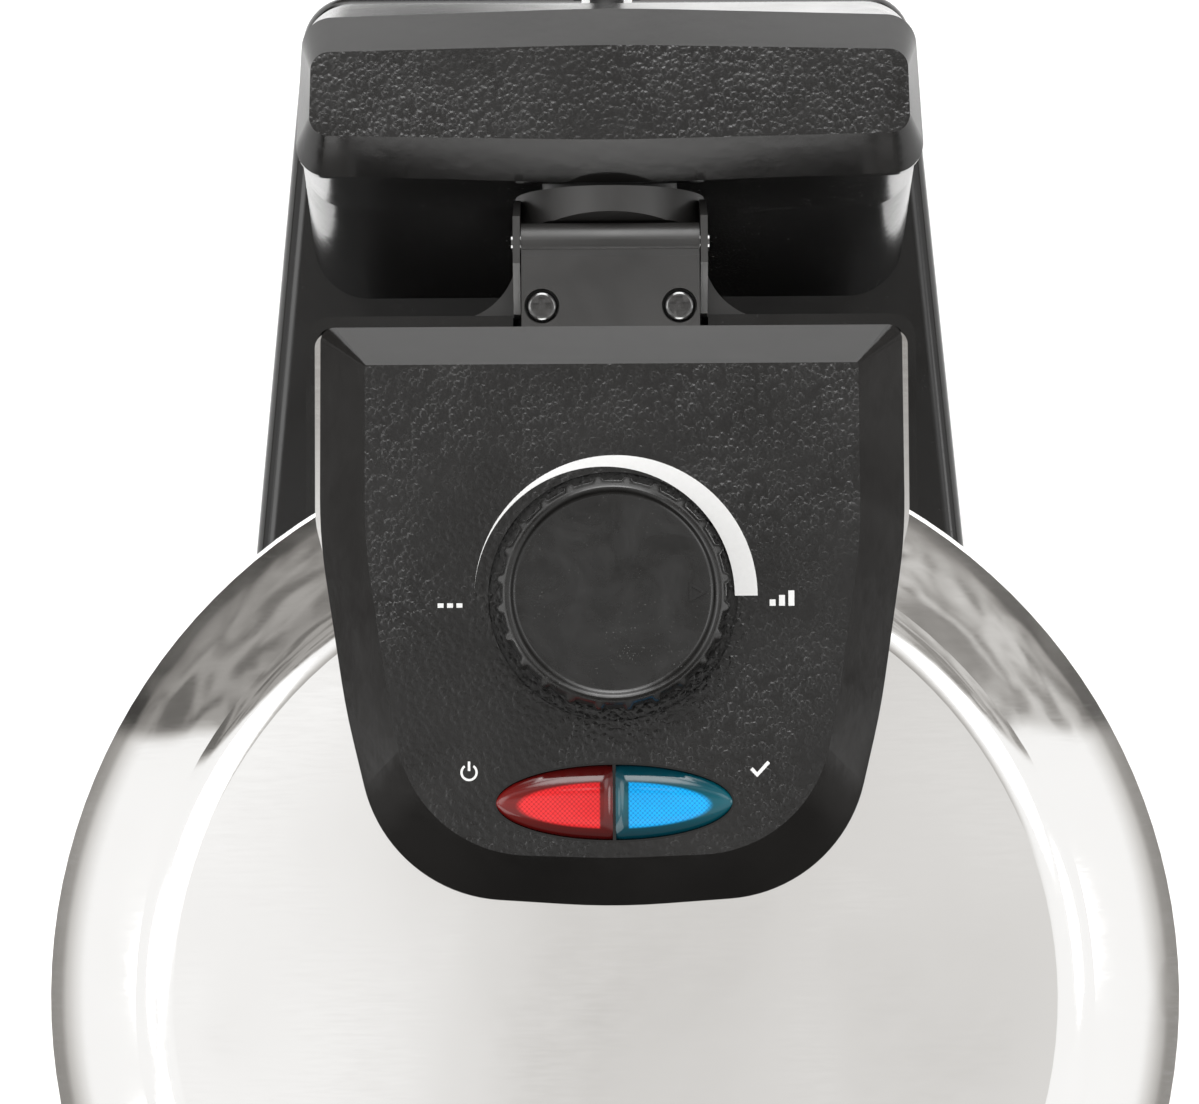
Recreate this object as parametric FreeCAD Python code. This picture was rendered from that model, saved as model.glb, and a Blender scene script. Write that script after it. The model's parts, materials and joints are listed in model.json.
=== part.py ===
import FreeCAD, Part
import math
import os

# Rotating donut maker. Millimetres, +Z up, the front (handle) towards -Y.
# The pieces are drawn with Y = 0 at the lid's centre; save() then moves them all so that the
# footprint's middle is at X = 0, Y = 0.

# Heights
FOOT_H = 4.0
DECK_Z = 22.0
AXIS_Z = 145.0  # the axis about which the cooking head turns over, and the seam of its halves
SEAM_GAP = 0.3  # each half stops this short of the seam plane

# Cooking head
HEAD_R = 118.0
SHELL_WALL = 1.0
SHELL_EDGE = 4.0  # from the seam plane to the edge of a steel shell
SIDE_TOP = 23.4
EDGE_MID = (117.74, 24.6)
EDGE_TOP = (117.0, 25.6)
RIM_MID = (107.96, 32.5)
CREASE = (98.0, 38.0)
BLEND_MID = (94.5, 40.0)
FLAT_R = 90.0
SHELL_H = 41.0

RING_R = 116.9
PLATE_R = 104.0
PLATE_GAP = 0.4
PLATE_T = 15.0
MOULD_COUNT = 5
MOULD_PITCH_R = 62.0
MOULD_RING_R = 21.0
MOULD_TUBE_R = 11.5
ELEMENT_R = 62.0
ELEMENT_TUBE_R = 3.2
SHIELD_R = 92.0
SHIELD_RISE = 23.0
PLATE_SCREW_R = 100.0
PLATE_SCREW_COUNT = 6

# Lid hinge
PIN_Y = 158.0
PIN_Z = 161.0
PIN_R = 2.0
PIN_CLEAR = 0.05
KNUCKLE_R = 4.0
KNUCKLE_ROOM_R = 4.6
KNUCKLE_HALF = 18.9
EAR_IN = 19.1
EAR_OUT = 20.6
EAR_TOP_Z = 165.4
ARM_HALF = 18.8
ARM_Z = (160.4, 166.0)
ARM_REAR_Y = 154.4
ARM_SCREW_X = 14.5
ARM_SCREW_Y = 143.8

# Neck, on which the head turns over
NECK_R = 20.4
NECK_START_Y = 137.0
NECK_END_Y = 169.5
NECK_ARCH = ((157.8, 149.0), (164.8, 167.5))  # slanting front end of the neck's top, as (y, z)
HUB_R = 14.6
HUB_END_Y = 172.7
JOURNAL_R = 11.0
JOURNAL_END_Y = 193.7
TAIL_R = 8.0
TAIL_END_Y = 202.0
WIRE_BORE_R = 4.5
WIRE_BORE_DROP = 2.5
RUN_CLEAR = 0.06

# Rear housing of the lower half
HOUSING_HALF = 65.0
HOUSING_REAR_Y = 143.0
HOUSING_Z = (116.0, 156.0)
HOUSING_WALL = 2.5
FLANGE_Z = (120.6, 126.6)
NECK_SCREW_Y = 99.5
NECK_SCREW_X = (-24.0, -8.0, 8.0, 24.0)

# Control panel
KNOB_Y = 81.0
PANEL_Z = 186.0
PANEL_EDGE_Z = 188.0
PANEL_TOP_Z = 197.0
PANEL_ROOF_Z = 193.5
KNOB_R = 22.6
KNOB_NUB_R = 1.1
KNOB_NUBS = 24
KNOB_Z = (196.0, 213.6)
KNOB_RIM_Z = 214.6
KNOB_WELL_R = 25.2
SHAFT_R = 3.0
LENS_Y = 39.5
LENS_HALF = 23.9
LENS_RISE = 7.7

# Base and tower
BASE_REAR_Y = 240.0
BASE_FRONT_Y = -105.0
BASE_WALL = 2.5
BASE_EDGE_R = 5.0
TOWER_TOP_Z = 160.0
TOWER_WALL = 2.5
TOWER_FRONT_Y = 173.0
BUSH_R = 13.5
REAR_BUSH_R = 11.0
STOP_PIN_X = 4.6
STOP_PIN_RISE = 16.4
CAP_SKIRT_Z = 163.0
CAP_TOP_Z = 171.5
TRAY_HALF = 66.0
TRAY_REAR_Y = 71.0
TRAY_WALL = 2.0
TRAY_Z = (9.0, 21.0)
TRAY_PLAY = 0.6
FOOT_PLACES = ((-66.0, 216.0), (66.0, 216.0), (-82.0, -78.0), (82.0, -78.0))

# Handle and latch
HANDLE_END_Y = -206.0
HANDLE_PIVOT = (-130.0, 121.0)
HANDLE_HALF = 16.0
HANDLE_T = 7.0  # half thickness
HUB_HALF = 8.7
HANDLE_SCREW_Y = (-158.0, -182.0)
CHEEK_IN = 9.0
MOUNT_HALF = 22.0
LATCH_PIVOT = (-131.5, 156.0)
LATCH_OPEN_DEG = 25.0

# Mains cord
CORD_R = 3.6
CORD_EXIT = (0.0, 233.0, 12.0)
GLAND_TAPER = 24.0
GLAND_END_Y = CORD_EXIT[1] - 1.0 + GLAND_TAPER
COIL_CENTRE = (-48.0, 306.0)
COIL_R = 38.5
COIL_HALF = 8.2
COIL_Z = (1.4, 12.4)

FLOOR_GAP = 0.2
FRAME_SHIFT_Y = -(HANDLE_END_Y + GLAND_END_Y) / 2
X_AXIS = FreeCAD.Vector(1, 0, 0)
Y_AXIS = FreeCAD.Vector(0, 1, 0)
Z_AXIS = FreeCAD.Vector(0, 0, 1)


# ---------------------------------------------------------------- helpers

def vec(x, y, z):
    return FreeCAD.Vector(x, y, z)


def box(x0, x1, y0, y1, z0, z1):
    return Part.makeBox(x1 - x0, y1 - y0, z1 - z0, vec(x0, y0, z0))


def cyl_z(r, x, y, z0, z1):
    return Part.makeCylinder(r, z1 - z0, vec(x, y, z0), Z_AXIS)


def cyl_y(r, x, z, y0, y1):
    return Part.makeCylinder(r, y1 - y0, vec(x, y0, z), Y_AXIS)


def cyl_x(r, y, z, x0, x1):
    return Part.makeCylinder(r, x1 - x0, vec(x0, y, z), X_AXIS)


def ring_z(r_in, r_out, x, y, z0, z1):
    return cyl_z(r_out, x, y, z0, z1).cut(cyl_z(r_in, x, y, z0 - 1, z1 + 1))


def ring_y(r_in, r_out, x, z, y0, y1):
    return cyl_y(r_out, x, z, y0, y1).cut(cyl_y(r_in, x, z, y0 - 1, y1 + 1))


def fuse(first, *others):
    return first.fuse(list(others)).removeSplitter()


def cut(first, *others):
    return first.cut(list(others))


def rounded_wire(corners, z):
    """Closed wire through corners (x, y, radius), each corner rounded by its own radius."""
    count = len(corners)
    starts, mids, ends = [], [], []
    for i, (x, y, r) in enumerate(corners):
        here = vec(x, y, z)
        before = vec(corners[i - 1][0], corners[i - 1][1], z) - here
        after = vec(corners[(i + 1) % count][0], corners[(i + 1) % count][1], z) - here
        before.normalize()
        after.normalize()
        half = before.getAngle(after) / 2
        bisector = before + after
        bisector.normalize()
        starts.append(here + before * (r / math.tan(half)))
        ends.append(here + after * (r / math.tan(half)))
        mids.append(here + bisector * (r / math.sin(half) - r))
    edges = []
    for i in range(count):
        edges.append(Part.Arc(starts[i], mids[i], ends[i]).toShape())
        edges.append(Part.LineSegment(ends[i], starts[(i + 1) % count]).toShape())
    return Part.Wire(edges)


def prism(corners, z0, z1):
    return Part.Face(rounded_wire(corners, z0)).extrude(vec(0, 0, z1 - z0))


def ruled(sections):
    """Solid with straight walls between rounded outlines, given as (corners, z)."""
    wires = [rounded_wire(corners, z) for corners, z in sections]
    return Part.makeLoft(wires, True, True)


def rectangle(half, y0, y1, r):
    return [(-half, y0, r), (half, y0, r), (half, y1, r), (-half, y1, r)]


def mirrored(right_side):
    """Closed outline from the corners of its right side, listed from front to rear."""
    left_side = [(-x, y, r) for x, y, r in reversed(right_side) if x != 0]
    return right_side + left_side


def extrude_yz(points, x0, x1):
    """Prism along X of a polygon given as (y, z) points."""
    wire = Part.makePolygon([vec(x0, y, z) for y, z in points + points[:1]])
    return Part.Face(wire).extrude(vec(x1 - x0, 0, 0))


def spin(edges):
    """Solid of revolution about the Z axis of a closed profile in the XZ plane."""
    return Part.Face(Part.Wire(edges)).revolve(vec(0, 0, 0), Z_AXIS, 360)


def spin_polygon(points):
    wire = Part.makePolygon([vec(r, 0, z) for r, z in points + points[:1]])
    return Part.Face(wire).revolve(vec(0, 0, 0), Z_AXIS, 360)


def other_half(shape):
    """The same piece on the lower half of the head."""
    return shape.mirror(vec(0, 0, AXIS_Z), Z_AXIS)


def around(count, radius, first_deg=0.0):
    for i in range(count):
        turn = math.radians(first_deg + 360.0 * i / count)
        yield radius * math.cos(turn), radius * math.sin(turn)


def pan_head_screw(x, y, z_seat, head_r, head_h, shank_r, length, up=True):
    """Pan-head screw with a cross recess; its head is above z_seat, or below when up is False."""
    head = cyl_z(head_r, x, y, z_seat, z_seat + head_h)
    head = head.makeFillet(head_h * 0.45, [e for e in head.Edges if e.BoundBox.ZMin > z_seat])
    slot, depth = head_r * 0.2, head_h * 0.6
    top = z_seat + head_h
    head = cut(
        head,
        box(x - head_r * 0.6, x + head_r * 0.6, y - slot, y + slot, top - depth, top + 1),
        box(x - slot, x + slot, y - head_r * 0.6, y + head_r * 0.6, top - depth, top + 1),
    )
    screw = fuse(head, cyl_z(shank_r, x, y, z_seat - length, z_seat))
    return screw if up else screw.mirror(vec(0, 0, z_seat), Z_AXIS)


# ---------------------------------------------------------------- cooking head, both halves

def bowl(inset, edge_z):
    """Solid of the upper steel shell's outer form, or of its inside when inset is its wall."""
    def point(r, rise):
        return vec(r, 0, AXIS_Z + rise)

    side_top = point(HEAD_R - inset, SIDE_TOP)
    crease = point(CREASE[0] - inset * 0.5, CREASE[1] - inset)
    flat = point(FLAT_R, SHELL_H - inset)
    middle = vec(0, 0, AXIS_Z + SHELL_H - inset)
    foot = vec(HEAD_R - inset, 0, edge_z)
    centre = vec(0, 0, edge_z)
    edge_mid = point(EDGE_MID[0] - inset * 0.91, EDGE_MID[1] - inset * 0.41)
    edge_top = point(EDGE_TOP[0] - inset * 0.66, EDGE_TOP[1] - inset * 0.75)
    rim_mid = point(RIM_MID[0] - inset * 0.55, RIM_MID[1] - inset * 0.84)
    blend = point(BLEND_MID[0] - inset * 0.25, BLEND_MID[1] - inset)
    return spin([
        Part.LineSegment(centre, foot).toShape(),
        Part.LineSegment(foot, side_top).toShape(),
        Part.Arc(side_top, edge_mid, edge_top).toShape(),
        Part.Arc(edge_top, rim_mid, crease).toShape(),
        Part.Arc(crease, blend, flat).toShape(),
        Part.LineSegment(flat, middle).toShape(),
        Part.LineSegment(middle, centre).toShape(),
    ])


def tab_outline(inset):
    """Outline of the squared rear tab of the lid shell, under the control panel."""
    return mirrored([
        (51.5 - inset, 60.0 + inset, 2.0),
        (60.9 - inset, 97.0, 20.0),
        (60.9 - inset, 136.0 - inset, 3.0 - inset),
    ])


def upper_shell():
    edge_z = AXIS_Z + SHELL_EDGE
    top = AXIS_Z + SHELL_H
    outer = fuse(bowl(0.0, edge_z), prism(tab_outline(0.0), edge_z, top))
    inner = fuse(bowl(SHELL_WALL, edge_z - 1), prism(tab_outline(SHELL_WALL), edge_z - 1, top - SHELL_WALL))
    arm_notch = box(-ARM_HALF - 0.5, ARM_HALF + 0.5, 130, 140, edge_z - 1, 167)
    return cut(outer, inner, arm_notch, cyl_z(8, 0, KNOB_Y, top - 3, top + 1))


def lower_shell():
    edge_z = AXIS_Z + SHELL_EDGE
    shell = other_half(cut(bowl(0.0, edge_z), bowl(SHELL_WALL, edge_z - 1)))
    return cut(shell, box(-31, 31, 90, 125, 119.5, 127.5))


def half_ring():
    """Plastic ring that carries a cooking plate inside the upper steel shell."""
    face = AXIS_Z + SEAM_GAP
    back = AXIS_Z + PLATE_GAP + PLATE_T
    ring = spin_polygon([
        (PLATE_R + 0.3, face), (RING_R, face), (RING_R, face + 5), (PLATE_R + 3.3, face + 5),
        (PLATE_R + 3.3, back + 3), (PLATE_R - 8, back + 3), (PLATE_R - 8, back), (PLATE_R + 0.3, back),
    ])
    holes = [cyl_z(1.9, x, y, back - 1, back + 4) for x, y in around(PLATE_SCREW_COUNT, PLATE_SCREW_R)]
    return cut(ring, *holes)


def lower_ring():
    holes = [cyl_z(1.5, x, NECK_SCREW_Y, FLANGE_Z[1] - 1, FLANGE_Z[1] + 2.2) for x in NECK_SCREW_X]
    return cut(other_half(half_ring()), *holes)


def half_plate():
    """Cast cooking plate of the upper half, its ring moulds open downwards."""
    face = AXIS_Z + PLATE_GAP
    plate = cyl_z(PLATE_R, 0, 0, face, face + PLATE_T)
    moulds = [
        Part.makeTorus(MOULD_RING_R, MOULD_TUBE_R, vec(x, y, face), Z_AXIS)
        for x, y in around(MOULD_COUNT, MOULD_PITCH_R, 90)
    ]
    holes = [
        cyl_z(1.7, x, y, face + PLATE_T - 6, face + PLATE_T + 1)
        for x, y in around(PLATE_SCREW_COUNT, PLATE_SCREW_R)
    ]
    return cut(plate, *moulds, *holes)


def half_plate_screws():
    seat = AXIS_Z + PLATE_GAP + PLATE_T + 3
    return Part.makeCompound([
        pan_head_screw(x, y, seat, 3.0, 2.0, 1.7, 8.5)
        for x, y in around(PLATE_SCREW_COUNT, PLATE_SCREW_R)
    ])


def half_element():
    """Sheathed heating element: an open ring with two terminal posts."""
    z = AXIS_Z + PLATE_GAP + PLATE_T + ELEMENT_TUBE_R
    ring = Part.makeTorus(ELEMENT_R, ELEMENT_TUBE_R, vec(0, 0, z), Z_AXIS)
    gap = box(-6, 6, ELEMENT_R - 12, ELEMENT_R + 12, z - 6, z + 6)
    posts = [cyl_z(1.6, x, ELEMENT_R - 0.9, z, z + 4) for x in (-9.0, 9.0)]
    return fuse(cut(ring, gap), *posts)


def half_shield():
    """Thin sheet disc that keeps the heat off the outer shell, on four posts."""
    back = AXIS_Z + PLATE_GAP + PLATE_T
    disc = cyl_z(SHIELD_R, 0, 0, AXIS_Z + SHIELD_RISE, AXIS_Z + SHIELD_RISE + 0.8)
    posts = [cyl_z(2.5, x, y, back, AXIS_Z + SHIELD_RISE) for x, y in around(4, 84, 45)]
    return fuse(disc, *posts)


# ---------------------------------------------------------------- neck and lower rear housing

def neck_casting():
    """Fork for the lid hinge, round neck and journals on which the whole head turns over."""
    flange = box(-30, 30, 97, HOUSING_REAR_Y - HOUSING_WALL, *FLANGE_Z)
    neck = cyl_y(NECK_R, 0, AXIS_Z, NECK_START_Y, NECK_END_Y)
    hub = cyl_y(HUB_R, 0, AXIS_Z, NECK_END_Y, HUB_END_Y)
    journal = cyl_y(JOURNAL_R, 0, AXIS_Z, HUB_END_Y, JOURNAL_END_Y)
    tail = cyl_y(TAIL_R, 0, AXIS_Z, JOURNAL_END_Y, TAIL_END_Y)
    side = [(143, 128), (168, 128), (168, 154), (163, EAR_TOP_Z), (153, EAR_TOP_Z), (143, 158)]
    ears = []
    gussets = []
    for sign in (-1, 1):
        x0, x1 = sorted((sign * EAR_IN, sign * EAR_OUT))
        ears.append(extrude_yz(side, x0, x1))
        x0, x1 = sorted((sign * 18, sign * (EAR_OUT + 14)))
        gusset = box(x0, x1, HOUSING_REAR_Y, HOUSING_REAR_Y + 14, 128, 152)
        hollow = cyl_z(14.6, sign * (EAR_OUT + 14), HOUSING_REAR_Y + 14, 127, 153)
        gussets.append(cut(gusset, hollow))
    casting = fuse(flange, neck, hub, journal, tail, *ears, *gussets)
    knuckle_room = cyl_x(KNUCKLE_ROOM_R, PIN_Y, PIN_Z, -EAR_IN, EAR_IN)
    (arch_y, arch_z), (crown_y, crown_z) = NECK_ARCH
    arm_room = extrude_yz(
        [(120, 148), (arch_y, 148), (arch_y, arch_z), (crown_y, crown_z), (crown_y, 200), (120, 200)],
        -EAR_IN, EAR_IN,
    )
    return cut(
        casting,
        knuckle_room,
        arm_room,
        cyl_x(PIN_R, PIN_Y, PIN_Z, -30, 30),
        cyl_y(WIRE_BORE_R, 0, AXIS_Z - WIRE_BORE_DROP, 130, TAIL_END_Y + 1),
        *[cyl_z(1.5, x, NECK_SCREW_Y, 110, 130) for x in NECK_SCREW_X],
    )


def lower_hinge_housing():
    """Thin tray behind the lower shell that covers the neck's flange and rings the lid's tab."""
    z0, z1 = HOUSING_Z
    outer = prism(rectangle(HOUSING_HALF, 88, HOUSING_REAR_Y, 5.0), z0, z1)
    front = box(-70, 70, 80, 95, z0 - 1, z1 + 1)
    inner = prism(
        rectangle(HOUSING_HALF - HOUSING_WALL, 80, HOUSING_REAR_Y - HOUSING_WALL, 3.0),
        z0 + HOUSING_WALL, z1 + 1,
    )
    neck_gap = box(-EAR_OUT - 0.2, EAR_OUT + 0.2, 135, 150, z0 + HOUSING_WALL, z1 + 1)
    return cut(outer, front, inner, neck_gap, cyl_z(HEAD_R + 0.3, 0, 0, z0 - 1, z1 + 1))


def neck_screws():
    """Screws that hold the neck's flange up against the lower ring."""
    return Part.makeCompound([
        pan_head_screw(x, NECK_SCREW_Y, FLANGE_Z[0], 2.6, 1.8, 1.5, 8.0, False)
        for x in NECK_SCREW_X
    ])


def hinge_pin():
    return cyl_x(PIN_R, PIN_Y, PIN_Z, -EAR_OUT - 0.4, EAR_OUT + 0.4)


def stop_collar():
    """Collar on the journal whose lug meets the stop pins at each end of the half turn."""
    collar = ring_y(JOURNAL_R, 13.0, 0, AXIS_Z, 184.0, 188.0)
    lug = box(-2.5, 2.5, 184.0, 188.0, AXIS_Z + 12.0, AXIS_Z + 18.5)
    return fuse(collar, lug)


def retaining_ring():
    return ring_y(TAIL_R, 11.0, 0, AXIS_Z, 199.3, 200.8)


# ---------------------------------------------------------------- lid: hinge, panel, knob

def lid_hinge_bracket():
    plate = box(-34, 34, 108, 134, AXIS_Z + 5.3, 153.5)
    block = box(-ARM_HALF, ARM_HALF, 118, 149.5, AXIS_Z + 5.3, 160.4)
    holes = [cyl_z(1.6, x, ARM_SCREW_Y, 152, 161) for x in (-ARM_SCREW_X, ARM_SCREW_X)]
    return cut(fuse(plate, block), *holes)


def lid_hinge_arm():
    """Flat arm with the knuckle at its rear end and two counterbored screw holes."""
    low, high = ARM_Z
    side = [(120, low), (PIN_Y - 0.5, low), (PIN_Y - 0.5, high - 3), (ARM_REAR_Y, high), (120, high)]
    plate = extrude_yz(side, -ARM_HALF, ARM_HALF)
    knuckle = cyl_x(KNUCKLE_R, PIN_Y, PIN_Z, -KNUCKLE_HALF, KNUCKLE_HALF)
    arm = fuse(plate, knuckle)
    for x in (-ARM_SCREW_X, ARM_SCREW_X):
        arm = cut(arm, cyl_z(1.7, x, ARM_SCREW_Y, 160, 167), cyl_z(3.7, x, ARM_SCREW_Y, 163.6, 167))
    return cut(arm, cyl_x(PIN_R + PIN_CLEAR, PIN_Y, PIN_Z, -20, 20))


def arm_screws():
    return Part.makeCompound([
        pan_head_screw(x, ARM_SCREW_Y, 163.6, 3.3, 2.3, 1.6, 11.0)
        for x in (-ARM_SCREW_X, ARM_SCREW_X)
    ])


def panel_outline(share):
    """Outline of the control panel: share 0 is its lower edge, 1 the edge of its flat top."""
    lower = [
        (0.0, 18.2, 150.0), (45.7, 21.3, 30.3), (54.5, 58.3, 150.0), (59.8, 93.6, 110.0),
        (59.6, 136.9, 2.9),
    ]
    upper = [
        (0.0, 28.3, 150.0), (38.8, 29.7, 27.0), (45.1, 58.3, 150.0), (50.1, 92.5, 110.0),
        (50.0, 128.2, 0.4),
    ]
    mixed = [
        tuple(a + share * (b - a) for a, b in zip(low, high))
        for low, high in zip(lower, upper)
    ]
    return mirrored(mixed)


def lens_face(inset, z):
    """Outline of the indicator lens, a wide ellipse, as a face."""
    ellipse = Part.Ellipse(vec(0, LENS_Y, z), LENS_HALF - inset, LENS_RISE - inset)
    return Part.Face(Part.Wire(ellipse.toShape()))


def control_panel():
    """Moulded tongue-shaped panel with wide bevels, a knob well and a lens window."""
    wall_share = 0.26
    rise = (PANEL_ROOF_Z - PANEL_EDGE_Z) / (PANEL_TOP_Z - PANEL_EDGE_Z)
    body = fuse(
        prism(panel_outline(0.0), PANEL_Z, PANEL_EDGE_Z),
        ruled([(panel_outline(0.0), PANEL_EDGE_Z), (panel_outline(1.0), PANEL_TOP_Z)]),
    )
    hollow = ruled([
        (panel_outline(wall_share), PANEL_Z - 0.5),
        (panel_outline(wall_share + 0.05), PANEL_EDGE_Z),
        (panel_outline(wall_share + rise), PANEL_ROOF_Z),
    ])
    window = lens_face(-0.3, PANEL_ROOF_Z - 1).extrude(vec(0, 0, 6))
    well = cyl_z(KNOB_WELL_R, 0, KNOB_Y, 195.5, 199)
    return cut(body, hollow, window, well, cyl_z(SHAFT_R + RUN_CLEAR, 0, KNOB_Y, 185, 199))


def half_lens(sign):
    lens = lens_face(0.0, PANEL_ROOF_Z + 0.2).extrude(vec(0, 0, 3.7))
    keep = sorted((sign * 0.25, sign * 40))
    return lens.common(box(keep[0], keep[1], 0, 80, 190, 200))


def indicator_lamp(sign):
    bulb = cyl_x(2.4, LENS_Y, 190.4, sign * 12 - 6, sign * 12 + 6)
    return fuse(bulb, Part.makeSphere(2.4, vec(sign * 12 - sign * 6, LENS_Y, 190.4)))


def lamp_holder():
    plate = box(-24, 24, 33, 46, PANEL_Z, 187.4)
    fences = [box(x - 0.8, x + 0.8, 34, 45, 187.4, 192.6) for x in (-21.0, 0.0, 21.0)]
    return fuse(plate, *fences)


def control_knob():
    """Round knob with nubs round its grip, a raised rim on top and a small pointer."""
    z0, z1 = KNOB_Z
    body = cyl_z(KNOB_R, 0, KNOB_Y, z0, z1)
    nubs = [
        cyl_z(KNOB_NUB_R, x, KNOB_Y + y, z0 + 0.6, z1 - 1.0)
        for x, y in around(KNOB_NUBS, KNOB_R - 0.3, 7.5)
    ]
    rim = ring_z(KNOB_R - 2.6, KNOB_R - 1.3, 0, KNOB_Y, z1, KNOB_RIM_Z)
    tip = vec(18.0, KNOB_Y, z1)
    wing = 1.5
    pointer = Part.Face(Part.makePolygon([
        tip, tip + vec(-2.6, wing, 0), tip + vec(-2.6, -wing, 0), tip,
    ])).extrude(vec(0, 0, 0.5))
    knob = fuse(body, *nubs, rim, pointer)
    return cut(knob, cyl_z(SHAFT_R, 0, KNOB_Y, z0 - 1, 206))


def thermostat_shaft():
    return cyl_z(SHAFT_R, 0, KNOB_Y, 179.5, 206)


def thermostat():
    case = box(-14, 14, KNOB_Y - 12, KNOB_Y + 12, 170, 181)
    nose = cyl_z(6, 0, KNOB_Y, 181, 185.4)
    bore = cyl_z(SHAFT_R + RUN_CLEAR, 0, KNOB_Y, 179.4, 186)
    return cut(fuse(case, nose), bore)


def thermal_fuse():
    z = AXIS_Z + PLATE_GAP + PLATE_T + 2.5
    return fuse(cyl_x(2.5, 20, z, 18, 32), cyl_x(0.8, 20, z, 12, 38))


# ---------------------------------------------------------------- lid grip, latch, handle

def front_block(z0, z1):
    """Block on the front of the head, hollowed to sit against the round shell."""
    block = prism(rectangle(MOUNT_HALF, -136, -100, 4.0), z0, z1)
    return cut(block, cyl_z(HEAD_R, 0, 0, z0 - 1, z1 + 1))


def lid_grip():
    y, z = LATCH_PIVOT
    slot = box(-8.4, 8.4, -140, -127.0, 140, 170)
    return cut(front_block(149.5, 160.5), slot, cyl_x(1.5, y, z, -16, 16))


def latch_pin():
    y, z = LATCH_PIVOT
    return cyl_x(1.5, y, z, -16, 16)


def lid_latch():
    """Hook lever; drawn locked under the lip of the handle mount, then swung open."""
    y, z = LATCH_PIVOT
    lever = box(-8, 8, -136, -133, 133.4, 160)
    tooth = box(-8, 8, -133, -130.2, 133.4, 136.8)
    hub = cyl_x(3.4, y, z, -8, 8)
    web = box(-8, 8, -134, y, z - 3, z + 3)
    latch = cut(fuse(lever, tooth, hub, web), cyl_x(1.5 + PIN_CLEAR, y, z, -9, 9))
    latch.rotate(vec(0, y, z), X_AXIS, -LATCH_OPEN_DEG)
    return latch


def handle_mount():
    y, z = HANDLE_PIVOT
    block = front_block(112, 143.5)
    hub_slot = box(-CHEEK_IN, CHEEK_IN, -140, -120.5, 111, 130)
    hook_room = box(-CHEEK_IN, CHEEK_IN, -140, -128.5, 129, 138)
    lever_room = box(-CHEEK_IN, CHEEK_IN, -140, -132.5, 137, 144)
    return cut(block, hub_slot, hook_room, lever_room, cyl_x(2.5, y, z, -17, 17))


def handle_pin():
    y, z = HANDLE_PIVOT
    return cyl_x(2.5, y, z, -17, 17)


def handle_core():
    """Flat arm that turns on the pin and runs down the middle of the grip."""
    y, z = HANDLE_PIVOT
    hub = cyl_x(HANDLE_T, y, z, -HUB_HALF, HUB_HALF)
    neck = box(-HUB_HALF, HUB_HALF, -141, y, z - 5, z + 5)
    tongue = box(-7, 7, -190, -140, z - 1.5, z + 1.5)
    return cut(fuse(hub, neck, tongue), cyl_x(2.5 + PIN_CLEAR, y, z, -10, 10))


def handle_half(sign):
    """Upper or lower half of the grip, a rounded bar closed round the core's tongue."""
    z = HANDLE_PIVOT[1]
    bar = prism(rectangle(HANDLE_HALF, HANDLE_END_Y, -141.2, 6.0), z - HANDLE_T, z + HANDLE_T)
    ends = [e for e in bar.Edges if abs(e.BoundBox.ZMax - e.BoundBox.ZMin) < 0.01]
    bar = bar.makeFillet(4.0, ends)
    low, high = sorted((z, z + sign * 20))
    pocket = box(-7, 7, -190, -140, z - 1.5, z + 1.5)
    return cut(bar.common(box(-30, 30, -220, -130, low, high)), pocket)


def handle_screws():
    z = HANDLE_PIVOT[1]
    return Part.makeCompound([
        pan_head_screw(0, y, z - 4.5, 2.4, 1.6, 1.2, 8.5, False) for y in HANDLE_SCREW_Y
    ])


def with_handle_holes(shape, head):
    """Cuts the handle's two screw holes, and their counterbores where the heads are."""
    z = HANDLE_PIVOT[1]
    for y in HANDLE_SCREW_Y:
        shape = cut(shape, cyl_z(1.2, 0, y, z - 5, z + 4))
        if head:
            shape = cut(shape, cyl_z(2.6, 0, y, z - 8, z - 4.5))
    return shape


# ---------------------------------------------------------------- base

def base_outline(inset):
    """Outline of the base: sides that widen towards the front."""
    return mirrored([
        (90.0 - inset, BASE_FRONT_Y + inset, 18.0 - inset),
        (98.7 - inset, -18.0, 140.0),
        (75.0 - inset, BASE_REAR_Y - inset, 12.0 - inset),
    ])


def tray_outline(outset, front):
    return rectangle(TRAY_HALF + outset, front, TRAY_REAR_Y + outset, 1.0)[:2] + [
        (TRAY_HALF + outset, TRAY_REAR_Y + outset, TRAY_HALF + outset - 1),
        (-TRAY_HALF - outset, TRAY_REAR_Y + outset, TRAY_HALF + outset - 1),
    ]


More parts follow.
